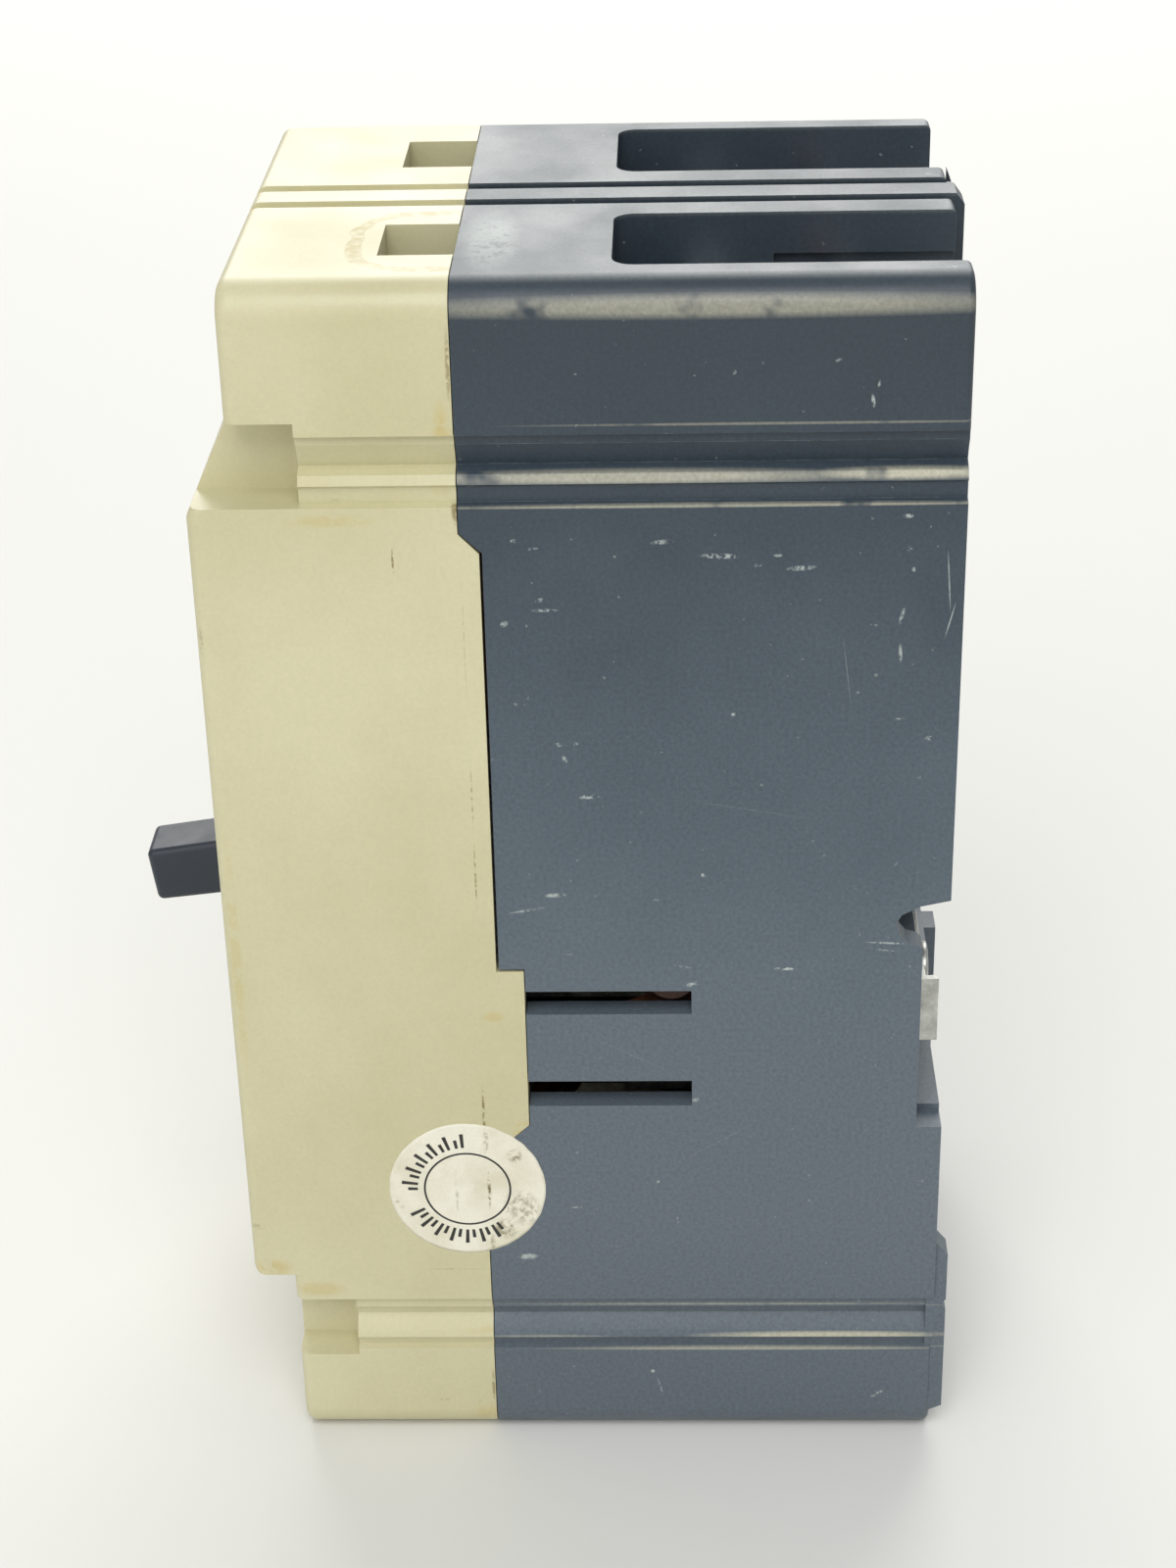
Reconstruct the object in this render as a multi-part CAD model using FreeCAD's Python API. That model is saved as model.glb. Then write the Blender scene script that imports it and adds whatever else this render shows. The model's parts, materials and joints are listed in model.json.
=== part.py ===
import FreeCAD, Part
import math
import os

# Two-pole molded case breaker, in millimetres.
# X is the width, -Y is the front with the handle, +Z is the line end.
# The model is drawn with z = 0 at the load end and is moved down by half its
# height when it is written, so the origin is the middle of the mounting plane.
# "Depth" d is counted forwards from the rear wall of the base, so y = -(rear_proud + d).

# ---- overall sizes ----
width = 70.0
height = 160.3
rear_proud = 1.6              # rear rib and pads stand this far behind the rear wall
seam_depth = 57.8             # base to cover joint at both ends
block_depth = 83.8            # front of the two end blocks
front_depth = 89.0            # front of the raised middle
end_corner_r = 4.0
front_edge_r = 1.5
envelope_d = 48.0
base_edge_r = 0.8
seam_gap = 0.12
seam_mid_gap = 0.35           # the joint is wider along the middle of the sides

# ---- raised middle of the cover ----
raised_bottom_z = 26.3
raised_top_inset = 16.3       # slanted top starts this far below the line end
raised_slant_run = 11.0

# ---- walls ----
side_wall = 3.2
front_wall = 3.2
end_wall = 26.0               # solid end blocks of the base
floor_depth = 10.0
partition_half = 2.0
partition_depth = 24.0
cover_cavity_inset = 30.0     # cover cavity stops this far from each end

# ---- stepped seam on the sides: (height above the load end, depth) ----
seam_mid_depth = 55.2
seam_tongue_depth = 52.05
seam_low_z = 45.0
seam_tongue_low_z = 49.8
seam_tongue_high_z = 72.9
seam_high_z = 128.5
seam_top_z = 131.0

# ---- grooves down both sides, given as (inset from the side, height) ----
low_groove_z = 14.2
low_groove = ((0.0, 0.0), (0.9, 0.3), (0.9, 1.3), (0.15, 1.7), (0.5, 2.7), (1.9, 4.5),
              (1.7, 6.0), (0.75, 6.3), (0.75, 7.9), (0.0, 8.1))
high_groove_inset = 26.1      # its lower lip is this far below the line end
high_groove = ((0.0, 0.0), (1.0, 0.25), (1.0, 2.1), (0.45, 2.5), (1.0, 3.6), (2.5, 4.3),
               (1.9, 5.9), (1.1, 7.2), (1.1, 8.3), (0.0, 8.6))
groove_depth = 75.9           # grooves stop here, where the pockets begin

# ---- side pockets at the front of the cover ----
low_pocket_z = 13.2
low_pocket_h = 9.1
low_pocket_x = 5.0
high_pocket_inset = 26.1
high_pocket_h = 10.2
high_pocket_x = 6.4
pocket_r = 1.2

# ---- end barrier grooves ----
barrier_in = 2.2
barrier_w = 2.4
barrier_deep = 9.0
barrier_web_d = 5.0
barrier_web_t = 1.2
barrier_shallow = 1.4

# ---- poles and terminals ----
pole_x = 18.0
slot_room_in = 0.6            # room beside the lug, towards the middle
slot_room_out = 1.9           # room beside the lug, towards the side
slot_front_d = 40.0
slot_deep = 24.0
slot_r = 2.5
slot_step_d = 21.3
slot_step_z = 5.0
vent_half = 5.9
vent_depth = 8.7
strap_w = 14.0
strap_t = 3.0
strap_d = 14.0
strap_clear = 0.3
strap_past_contact = 0.7
strap_out = 1.0               # strap end beyond the lug
lug_w = 17.0
lug_len = 16.0
lug_under_strap = 2.5
lug_h = 20.0
lug_end_gap = 7.0
lug_window_room = 0.3
lug_window_h = 12.6
lug_window_under = 0.2
lug_screw_r = 4.0
lug_screw_len = 13.0
lug_screw_out = 6.5          # the screws stand backed out, so a conductor can go in
thread_clear = 0.05
access_r = 5.5
mount_hole_r = 2.3
mount_head_r = 4.6
mount_head_d = 40.0
mount_inset = 18.0
cover_screw_in = 5.0
cover_screw_inset = 7.8
cover_screw_r = 1.6
cover_head_r = 3.0
cover_head_t = 2.2
cover_head_sink = 1.0
cover_screw_len = 34.0
screw_clear = 0.15

# ---- rear of the base ----
rear_notch_low_z = 49.3
rear_notch_step_z = 75.3
rear_notch_top_z = 82.3
rear_notch_depth = 3.2
rear_hook_depth = 6.5
rear_pocket_in = 6.0
rear_pocket_depth = 8.0
rear_rib_z = (53.0, 57.4, 60.2, 67.0, 74.6)
rear_rib_t = 1.1
pad_w = 3.4
pad_low_z = 3.0
pad_high_z = 31.0
pad_notch_z = 21.0
clip_end_gap = 1.0
clip_h = 9.0
clip_z = 64.0
clip_t = 1.0
clip_d = 2.2
clip_gap = 0.3
rivet_r = 2.0
rivet_head_r = 3.2
rivet_x = 20.0

# ---- accessory slits in the sides ----
slit_front_d = 52.05
slit_rear_d = 31.5
slit_low = (52.7, 56.4)
slit_high = (66.3, 69.65)

# ---- handle ----
pivot_d = 44.0
pivot_z = 76.7
handle_tilt = 7.6             # rest position, below level
handle_throw = 17.0           # on and off positions, above and below level
handle_w = 8.0
handle_h = 8.2
handle_tip_h = 7.6
handle_reach = 60.0
handle_edge_r = 0.9
handle_slot_gap = 0.6
shield_r = 41.0
shield_t = 1.8
shield_half_w = 8.0
shield_margin = 1.0
block_half_w = 6.8
yoke_reach = 30.0
yoke_t = 1.2
yoke_in = 7.2
yoke_h = 8.0
yoke_pin_r = 2.0
pin_clear = 0.05

# ---- mechanism frame ----
frame_in = 9.5
frame_corner = 4.0
frame_bar_room = 1.3
frame_screw_in = 1.9
frame_screw_len = 8.0
frame_head_r = 1.75
frame_head_t = 1.3
frame_slot_t = 0.6
frame_slot_w = 0.5
latch_rear_d = 56.0
latch_front_d = 61.5
latch_t = 2.5
frame_t = 1.5
frame_low_z = 54.0
frame_high_z = 98.0
frame_front_d = 72.0
frame_foot_d = 32.0
frame_foot_h = 6.0
frame_foot_w = 5.4
frame_pin_r = 2.0
frame_screw_r = 1.3
cradle_pin = (50.0, 94.3)     # (depth, height)
spacer_pins = ((68.0, 56.5), (68.0, 95.5))
cradle_t = 3.0

# ---- contact system ----
bar_d = 34.0
bar_z = 70.0
bar_r = 5.5
bar_block_r = 8.0
bar_end_gap = 2.8
bar_journal_r = 3.0
bar_journal = 3.5
bar_block_half = 5.6
arm_w = 4.0
arm_h = 5.0
arm_side_gap = 0.2
arm_pin_r = 1.5
arm_heel = 10.8
arm_open = 20.0               # arms stand this many degrees open at rest
contact_z = 112.0
contact_t = 2.0
contact_len = 7.0
contact_w = 5.0
contact_gap = 0.15
crank_len = 12.0
crank_rest_deg = 82.0
link_low = 17.0
link_high = 16.0
link_pivot = (62.0, 86.0)
link_pin_r = 1.2
link_slack = 0.75
link_half_h = 2.4
low_link_in = 1.8
high_link_in = 3.0
link_t = 1.0
toggle_spring_x = 5.6
toggle_spring_r = 1.2
toggle_spring_wire = 0.25
toggle_spring_start = 0.08    # share of the way from the yoke to the toggle pin
toggle_spring_end_gap = 2.1
coil_points = 8               # spline points per turn of a coil

# ---- arc chutes ----
chute_half_w = 11.2
chute_wall_t = 1.4
chute_low_z = 105.0
chute_high_z = 131.0
chute_low_d = 19.5
chute_high_d = 56.0
plate_count = 8
plate_pitch = 4.0
plate_t = 1.2
plate_first_d = 23.0
plate_mouth = 9.0
plate_mouth_z = 119.5

# ---- trip unit ----
load_strap_z = 46.0
bimetal_w = 8.0
bimetal_t = 1.2
bimetal_z = 41.0
bimetal_tip_d = 56.0
bimetal_foot_z = 33.0
yoke_half = 9.0
yoke_leg_t = 2.0
yoke_back_z = 36.5
yoke_leg_top_z = 48.0
yoke_front_d = 36.0
armature_z = 50.0
armature_t = 1.8
armature_front_d = 40.0
armature_pivot = (19.0, 51.0)
armature_pin_r = 1.2
knuckle_r = 2.2
prong_in = 6.5                # from the pole's middle
prong_w = 2.0
prong_d = 51.0
prong_low_z = 41.0
prong_t = 3.0
armature_neck = 4.0
armature_neck_gap = 0.3
ear_rear = 2.4                # yoke ears about the armature's pivot
ear_front = 2.8
ear_root = 1.0
trip_axis = (57.0, 34.0)
trip_bar_r = 3.2
trip_bar_end_gap = 0.5
trip_journal_r = 1.6
trip_arm_top_z = 49.0
cheek_gap = 2.6
cheek_t = 2.2
cheek_rear = 7.0              # reach of the cheeks about the trip axis
cheek_front = 5.0
cheek_top = 6.0
rail_rear_d = 44.0
rail_h = 2.4
trip_frame_gap = 0.6          # to the joint of the case
nose_gap = 0.4                # to the cover's end wall
seat_past_button = 5.0
arm_reach = 4.0               # arms of the trip bar, behind its core
arm_low = 1.0
arm_high = 2.5
calib_arm_half = 2.2
calib_in = 2.4
prong_arm_half = 1.6
latch_arm_half = 3.5
latch_arm_rear = 1.5
latch_arm_front = 1.8
button_arm_half = 2.0
button_arm_t = 3.5
button_arm_past = 3.0
calib_r = 1.5
braid_w = 5.6
braid_t = 1.6
button_in = 9.0
button_z = 42.0
button_r = 2.95
button_bore_gap = 0.2
button_recess = 0.4
flange_r = 4.3
flange_t = 2.0
stem_r = 1.6
stem_end_d = 60.8
seat_d = 66.0
seat_t = 2.0

# ---- seal label and rating label ----
seal_r = 10.15
seal_t = 0.12
seal_d = 60.4
seal_z = 40.0
label_t = 0.12
label_side_gap = 8.0
label_low_z = 99.0
label_high_z = 124.0

side_x = width / 2
cavity_x = side_x - side_wall
cover_screw_x = side_x - cover_screw_in
clip_half = side_x - pad_w - clip_end_gap
button_x = side_x - button_in
label_half_w = side_x - label_side_gap
bar_half = cavity_x - bar_end_gap
cheek_in = cavity_x - cheek_gap - cheek_t
trip_bar_half = cheek_in - trip_bar_end_gap
prong_x = pole_x - prong_in
slot_in = pole_x - lug_w / 2 - slot_room_in
slot_out = pole_x + lug_w / 2 + slot_room_out
lug_d = strap_d - lug_under_strap
lug_window_d = strap_d - lug_window_under
high_groove_z = height - high_groove_inset
high_pocket_z = height - high_pocket_inset
raised_slant_z = height - raised_top_inset
raised_top_z = raised_slant_z - raised_slant_run
cavity_low_z = end_wall
cavity_high_z = height - end_wall
cover_low_z = cover_cavity_inset
cover_high_z = height - cover_cavity_inset
shield_half = math.degrees(math.asin(0.45)) + handle_throw + shield_margin
bar_centre = (bar_d, bar_z)


def pt(x, d, z):
    return FreeCAD.Vector(x, -(rear_proud + d), z)


X_AXIS = FreeCAD.Vector(1, 0, 0)
FRONT = FreeCAD.Vector(0, -1, 0)
UP = FreeCAD.Vector(0, 0, 1)


def box(x0, x1, d0, d1, z0, z1):
    return Part.makeBox(x1 - x0, d1 - d0, z1 - z0, pt(x0, d1, z0))


def rod_x(d, z, r, x0, x1):
    return Part.makeCylinder(r, x1 - x0, pt(x0, d, z), X_AXIS)


def rod_d(x, z, r, d0, d1):
    return Part.makeCylinder(r, d1 - d0, pt(x, d0, z), FRONT)


def rod_z(x, d, r, z0, z1):
    return Part.makeCylinder(r, z1 - z0, pt(x, d, z0), UP)


def prism_x(points, x0, x1):
    wire = Part.makePolygon([pt(x0, d, z) for d, z in points + points[:1]])
    return Part.Face(wire).extrude(X_AXIS * (x1 - x0))


def prism_d(points, d0, d1):
    wire = Part.makePolygon([pt(x, d0, z) for x, z in points + points[:1]])
    return Part.Face(wire).extrude(FRONT * (d1 - d0))


def fuse_all(shapes):
    body = shapes[0]
    if len(shapes) > 1:
        body = body.fuse(shapes[1:])
    return body.removeSplitter()


def cut_all(body, tools):
    return body.cut(tools).removeSplitter()


def mirrored(shape):
    return shape.mirror(FreeCAD.Vector(0, 0, 0), X_AXIS)


def both_sides(shapes):
    return shapes + [mirrored(s) for s in shapes]


def end_for_end(shape):
    return shape.mirror(FreeCAD.Vector(0, 0, height / 2), UP)


def turned(shape, centre, degrees):
    """Turn about the X line through centre; positive moves the front downwards."""
    out = shape.copy()
    out.rotate(pt(0, centre[0], centre[1]), X_AXIS, degrees)
    return out


def edges_near(shape, test):
    return [e for e in shape.Edges if test(e)]


def rounded(shape, radius, test):
    return shape.makeFillet(radius, edges_near(shape, test))


def ends(edge):
    return edge.Vertexes[0].Point, edge.Vertexes[-1].Point


def runs_along(edge, axis):
    a, b = ends(edge)
    step = b - a
    return step.Length > 0.01 and abs(step.normalize().dot(axis)) > 0.999


def coil(base, axis, mean_r, wire_r, length, turns):
    """Open coil whose wire follows a spline, which keeps an even mesh."""
    count = round(turns * coil_points)
    points = []
    for i in range(count + 1):
        x, y = on_circle((0.0, 0.0), mean_r, 360.0 * turns * i / count)
        points.append(FreeCAD.Vector(x, y, length * i / count))
    spline = Part.BSplineCurve()
    spline.interpolate(points)
    start = spline.tangent(spline.FirstParameter)[0]
    ring = Part.Wire(Part.makeCircle(wire_r, points[0], start))
    shape = Part.Wire(spline.toShape()).makePipeShell([ring], True, True)
    turn = FreeCAD.Rotation(UP, axis)
    shape.Placement = FreeCAD.Placement(base, turn).multiply(shape.Placement)
    return shape


def on_circle(centre, radius, degrees):
    a = math.radians(degrees)
    return centre[0] + radius * math.cos(a), centre[1] + radius * math.sin(a)


# ---------------------------------------------------------------- case

def end_outline():
    """Outline across the width, with the grooves that run down both sides."""
    right = [(side_x - dx, low_groove_z + dz) for dx, dz in low_groove]
    right += [(side_x - dx, high_groove_z + dz) for dx, dz in high_groove]
    points = [(side_x, 0.0)] + right + [(side_x, height)]
    return points + [(-x, z) for x, z in reversed(points)]


def case_bar(d0, d1):
    body = prism_d(end_outline(), d0, d1)

    def at_corner(edge):
        a, b = ends(edge)
        on_side = abs(abs(a.x) - side_x) < 0.01
        on_end = abs(a.z) < 0.01 or abs(a.z - height) < 0.01
        return runs_along(edge, FRONT) and on_side and on_end

    return rounded(body, end_corner_r, at_corner)


def seam_points(gap, mid_gap):
    """The stepped joint line, from the load end to the line end."""
    return [(seam_depth + gap, -1.0), (seam_depth + gap, seam_low_z),
            (seam_tongue_depth + 1.9 + gap, seam_tongue_low_z - 1.8),
            (seam_tongue_depth + gap, seam_tongue_low_z),
            (seam_tongue_depth + gap, seam_tongue_high_z - mid_gap),
            (seam_mid_depth + mid_gap, seam_tongue_high_z - mid_gap),
            (seam_mid_depth + mid_gap, seam_high_z - gap),
            (seam_depth + gap, seam_top_z - gap), (seam_depth + gap, height + 1.0)]


def conductor_slot():
    x0 = slot_in
    x1 = slot_out
    z0 = height - slot_deep
    deep = box(x0, x1, -1.0, slot_front_d, z0, height + 1.0)

    def at_front(edge):
        a, b = ends(edge)
        return runs_along(edge, UP) and abs(a.y + rear_proud + slot_front_d) < 0.01

    deep = rounded(deep, slot_r, at_front)
    step = box(x0 - 1.2, x0, -1.0, slot_step_d, z0, height - slot_step_z)
    return deep.fuse(step)


def strap_window():
    half = strap_w / 2 + strap_clear
    z0 = cavity_high_z - 1.0
    z1 = height - slot_deep + 1.0
    top = strap_d + strap_t + strap_clear
    return box(pole_x - half, pole_x + half, strap_d - strap_clear, top, z0, z1)


def barrier_cuts(d0, d1, deep, web):
    cut = box(barrier_in, barrier_in + barrier_w, d0, d1, height - deep, height + 1.0)
    if web:
        keep = box(barrier_in - 0.1, barrier_in + barrier_w + 0.1, barrier_web_d,
                   barrier_web_d + barrier_web_t, height - deep, height - 0.8)
        cut = cut.cut(keep)
    return cut


def both_ends(shapes):
    return shapes + [end_for_end(s) for s in shapes]


def rear_notch():
    low = rear_notch_low_z
    step = rear_notch_step_z
    top = rear_notch_top_z
    hook = rear_hook_depth
    points = [(-3.0, low), (rear_notch_depth, low), (rear_notch_depth, step),
              (3.7, step + 0.6), (hook - 1.3, step + 1.1), (hook - 0.3, step + 2.4),
              (hook, step + 3.9), (hook - 0.6, top - 2.0), (3.6, top - 0.8), (0.0, top),
              (-3.0, top)]
    wall = pad_w + 0.4
    return prism_x(points, side_x - wall, side_x + 1.0)


def rear_pocket():
    x1 = side_x - pad_w
    z0 = rear_notch_low_z + 1.0
    z1 = rear_notch_top_z - 1.2
    pocket = box(rear_pocket_in, x1, -3.0, rear_pocket_depth, z0, z1)
    ribs = []
    for z in rear_rib_z:
        ribs.append(box(x1 - 8.0, x1 + 1.0, rear_notch_depth + 0.6, rear_pocket_depth + 1.0,
                        z, z + rear_rib_t))
    return pocket.cut(ribs)


def clip_channel():
    half = clip_h / 2 + clip_gap
    return box(-rear_pocket_in - 1.0, rear_pocket_in + 1.0, -3.0, clip_d + clip_t + clip_gap,
               clip_z - half, clip_z + half)


def rear_proud_parts():
    rib_half = barrier_in
    rib = prism_x([(1.0, 0.0), (-0.6, 0.0), (-rear_proud, 1.4), (-rear_proud, height - 1.4),
                   (-0.6, height), (1.0, height)], -rib_half, rib_half)
    x1 = side_x - 0.4
    pad = prism_x([(1.0, pad_low_z), (-rear_proud, pad_low_z + 1.2),
                   (-rear_proud, pad_notch_z - 0.8), (-rear_proud + 0.7, pad_notch_z),
                   (-rear_proud, pad_notch_z + 0.8), (-rear_proud, pad_high_z - 2.0),
                   (0.0, pad_high_z), (1.0, pad_high_z)], x1 - pad_w, x1)
    tab = prism_x([(1.0, height - 9.0), (-rear_proud, height - 9.0),
                   (-rear_proud, height - 3.6), (-0.9, height - 1.8), (1.0, height - 1.8)],
                  -16.5, -slot_in + 1.0)
    return [rib, tab] + both_sides([pad])


def seat_boss(z0):
    """Boss under one foot of the mechanism frame."""
    x0 = frame_in - 3.5
    x1 = frame_in + frame_foot_w
    return box(x0, x1, floor_depth - 1.0, frame_foot_d, z0, z0 + frame_foot_h)


def slit(z_range):
    z0, z1 = z_range
    front = slit_front_d + 6.0
    return box(cavity_x - 1.0, side_x + 1.0, slit_rear_d, front, z0, z1)


def mount_holes(d0, d1, radius):
    return [rod_d(0, z, radius, d0, d1) for z in (mount_inset, height - mount_inset)]


def cover_screw_places():
    z_places = (cover_screw_inset, height - cover_screw_inset)
    return [(x, z) for x in (-cover_screw_x, cover_screw_x) for z in z_places]


def pole_cavity():
    return box(partition_half, cavity_x, floor_depth, partition_depth + 1.0,
               cavity_low_z, cavity_high_z)


def make_base():
    body = case_bar(0.0, seam_depth)
    front_side = prism_x(seam_points(0.0, 0.0) + [(120.0, height + 1.0), (120.0, -1.0)],
                         -width, width)
    body = body.cut(front_side)

    def at_rear_rim(edge):
        a, b = ends(edge)
        low = abs(a.y + rear_proud) < 0.01 and abs(b.y + rear_proud) < 0.01
        return low and (abs(a.z) < 0.01 or abs(a.z - height) < 0.01) and runs_along(edge, X_AXIS)

    body = rounded(body, base_edge_r, at_rear_rim)
    body = fuse_all([body] + rear_proud_parts())
    cuts = both_sides([pole_cavity()])
    cuts.append(box(-cavity_x, cavity_x, partition_depth, 120.0, cavity_low_z, cavity_high_z))
    slots = both_sides(both_ends([conductor_slot(), strap_window(),
                                  barrier_cuts(-3.0, seam_depth + 1.0, barrier_deep, True)]))
    cuts += slots
    cuts += both_sides([slit(slit_low), slit(slit_high), rear_notch(), rear_pocket()])
    cuts.append(clip_channel())
    cuts += both_sides(both_ends([rod_d(pole_x, height - lug_end_gap - lug_len / 2, access_r,
                                        slot_front_d - 1.0, seam_depth + 1.0)]))
    cuts += mount_holes(-3.0, seam_depth + 1.0, mount_hole_r)
    cuts += mount_holes(mount_head_d, seam_depth + 1.0, mount_head_r)
    for x, z in cover_screw_places():
        cuts.append(rod_d(x, z, cover_screw_r, seam_depth - 14.0, seam_depth + 1.0))
    body = cut_all(body, cuts)
    bosses = both_sides([seat_boss(frame_low_z), seat_boss(frame_high_z - frame_foot_h)])
    body = fuse_all([body] + bosses)
    cuts = []
    for z in (frame_low_z, frame_high_z - frame_foot_h):
        hole = rod_d(frame_in + frame_foot_w - 1.9, z + frame_foot_h / 2, frame_screw_r,
                     frame_foot_d - 9.0, frame_foot_d + 1.0)
        cuts += both_sides([hole])
    seat = rod_x(bar_d, bar_z, bar_journal_r + pin_clear, cavity_x - 0.5,
                 bar_half + bar_journal + 0.4)
    way_in = box(cavity_x - 0.5, bar_half + bar_journal + 0.4, bar_d, 120.0,
                 bar_z - bar_journal_r - pin_clear, bar_z + bar_journal_r + pin_clear)
    cuts += both_sides([seat, way_in])
    return cut_all(body, cuts)


def cover_pocket(z0, z1, inset):
    x0 = side_x - inset
    body = box(x0, side_x + 1.0, groove_depth, 120.0, z0, z1)

    def at_inner(edge):
        a, b = ends(edge)
        return runs_along(edge, UP) and abs(a.x - x0) < 0.01 and a.y > -(rear_proud + 80.0)

    return rounded(body, pocket_r, at_inner)


def handle_slot():
    half_h = (front_depth - pivot_d) * math.tan(math.radians(handle_throw))
    half_h += handle_h / 2 / math.cos(math.radians(handle_throw)) + handle_slot_gap
    half_w = handle_w / 2 + handle_slot_gap
    body = box(-half_w, half_w, front_depth - front_wall - 1.0, front_depth + 1.0,
               pivot_z - half_h, pivot_z + half_h)
    return rounded(body, 1.2, lambda e: runs_along(e, FRONT))


def vent():
    return box(pole_x - vent_half, pole_x + vent_half, seam_depth - 2.0,
               seam_depth + vent_depth, cover_high_z - 1.0, height + 1.0)


def depth_of(point):
    return -point.y - rear_proud


def ahead_of(edge, d):
    return all(depth_of(point) > d for point in ends(edge))


def end_envelope():
    """Rounded block with the outside of the two end blocks."""
    body = box(-side_x, side_x, envelope_d, block_depth, 0.0, height)
    body = rounded(body, end_corner_r, lambda e: runs_along(e, FRONT))
    return rounded(body, front_edge_r, lambda e: ahead_of(e, block_depth - 0.1))


def raised_envelope():
    """Rounded block with the outside of the raised middle and its slanted top."""
    fall = (front_depth - block_depth) / (raised_slant_z - raised_top_z)
    far_z = raised_slant_z + 6.0
    far_d = block_depth - fall * 6.0
    body = prism_x([(envelope_d, raised_bottom_z), (front_depth, raised_bottom_z),
                    (front_depth, raised_top_z), (far_d, far_z), (envelope_d, far_z)],
                   -side_x, side_x)
    return rounded(body, front_edge_r, lambda e: ahead_of(e, far_d - 0.1))


def cover_block():
    """Solid outside of the cover, before it is hollowed."""
    bar = prism_d(end_outline(), envelope_d + 1.0, front_depth + 1.0)
    return bar.common(end_envelope().fuse(raised_envelope()).removeSplitter())


def make_cover():
    body = cover_block()
    pockets = [cover_pocket(low_pocket_z, low_pocket_z + low_pocket_h, low_pocket_x),
               cover_pocket(high_pocket_z, high_pocket_z + high_pocket_h, high_pocket_x)]
    body = cut_all(body, both_sides(pockets))
    rear_side = prism_x(seam_points(seam_gap, seam_mid_gap) + [(-9.0, height + 1.0), (-9.0, -1.0)],
                        -width, width)
    cuts = [rear_side]
    cuts.append(box(-cavity_x, cavity_x, 0.0, front_depth - front_wall,
                    cover_low_z, cover_high_z))
    cuts.append(box(-cavity_x, cavity_x, 0.0, seam_depth + seam_gap, cavity_low_z, cavity_high_z))
    cuts += both_sides([vent(), barrier_cuts(0.0, 120.0, barrier_shallow, False)])
    cuts += both_sides([end_for_end(barrier_cuts(0.0, 120.0, barrier_shallow, False))])
    cuts += both_sides(both_ends([rod_d(pole_x, height - lug_end_gap - lug_len / 2, access_r,
                                        0.0, 120.0)]))
    cuts += mount_holes(0.0, 120.0, mount_head_r)
    for x, z in cover_screw_places():
        cuts.append(rod_d(x, z, cover_screw_r + screw_clear, 0.0, 120.0))
        cuts.append(rod_d(x, z, cover_head_r + screw_clear,
                          block_depth - cover_head_sink - cover_head_t, 120.0))
    cuts.append(handle_slot())
    cuts.append(rod_d(button_x, button_z, button_r + button_bore_gap, 80.0, 120.0))
    return cut_all(body, cuts)


def make_seal_label():
    label = Part.makeCylinder(seal_r, seal_t, pt(side_x, seal_d, seal_z), X_AXIS)
    return label


def make_rating_label():
    label = box(-label_half_w, label_half_w, front_depth, front_depth + label_t,
                label_low_z, label_high_z)
    return rounded(label, 2.0, lambda e: runs_along(e, FRONT))


def make_cover_screws():
    screws = []
    head_d = block_depth - cover_head_sink - cover_head_t
    for x, z in cover_screw_places():
        shank = rod_d(x, z, cover_screw_r, head_d - cover_screw_len, head_d)
        head = rod_d(x, z, cover_head_r, head_d, head_d + cover_head_t)
        drive = [box(x - 2.0, x + 2.0, head_d + 1.0, head_d + 9.0, z - 0.35, z + 0.35),
                 box(x - 0.35, x + 0.35, head_d + 1.0, head_d + 9.0, z - 2.0, z + 2.0)]
        screws.append(shank.fuse(head).cut(drive))
    return Part.makeCompound(screws)


def make_rear_clip():
    z0 = clip_z - clip_h / 2
    strip = box(-clip_half, clip_half, clip_d, clip_d + clip_t, z0, z0 + clip_h)
    leg = box(clip_half - clip_t, clip_half, 0.6, clip_d + 0.5, z0, z0 + clip_h)
    holes = both_sides([rod_d(rivet_x, clip_z, rivet_r + pin_clear, -3.0, 9.0)])
    return cut_all(fuse_all([strip] + both_sides([leg])), holes)


def make_clip_rivets():
    shank = rod_d(rivet_x, clip_z, rivet_r, clip_d, rear_pocket_depth)
    head = rod_d(rivet_x, clip_z, rivet_head_r, clip_d - 1.0, clip_d)
    return Part.makeCompound(both_sides([shank.fuse(head)]))


# ---------------------------------------------------------------- terminals and contacts

def strap(z0, z1):
    return box(pole_x - strap_w / 2, pole_x + strap_w / 2, strap_d, strap_d + strap_t, z0, z1)


def make_line_terminal():
    inner_end = contact_z - contact_len / 2 - strap_past_contact
    return strap(inner_end, height - lug_end_gap + strap_out)


def make_load_terminal():
    return strap(lug_end_gap - strap_out, load_strap_z)


def make_lug():
    z1 = height - lug_end_gap
    z0 = z1 - lug_len
    block = box(pole_x - lug_w / 2, pole_x + lug_w / 2, lug_d, lug_d + lug_h, z0, z1)
    block = rounded(block, 1.5, lambda e: runs_along(e, UP))
    half = strap_w / 2 + lug_window_room
    window = box(pole_x - half, pole_x + half, lug_window_d, lug_window_d + lug_window_h,
                 z0 - 1.0, z1 + 1.0)
    thread = rod_d(pole_x, (z0 + z1) / 2, lug_screw_r + thread_clear, lug_window_d + 4.0,
                   lug_d + lug_h + 1.0)
    return cut_all(block, [window, thread])


def make_lug_screw():
    z = height - lug_end_gap - lug_len / 2
    top = lug_d + lug_h + lug_screw_out
    body = rod_d(pole_x, z, lug_screw_r, top - lug_screw_len, top)
    hexagon = []
    for i in range(6):
        a = math.radians(60 * i)
        hexagon.append((pole_x + 2.6 * math.cos(a), z + 2.6 * math.sin(a)))
    return body.cut(prism_d(hexagon, top - 4.0, top + 1.0))


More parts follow.
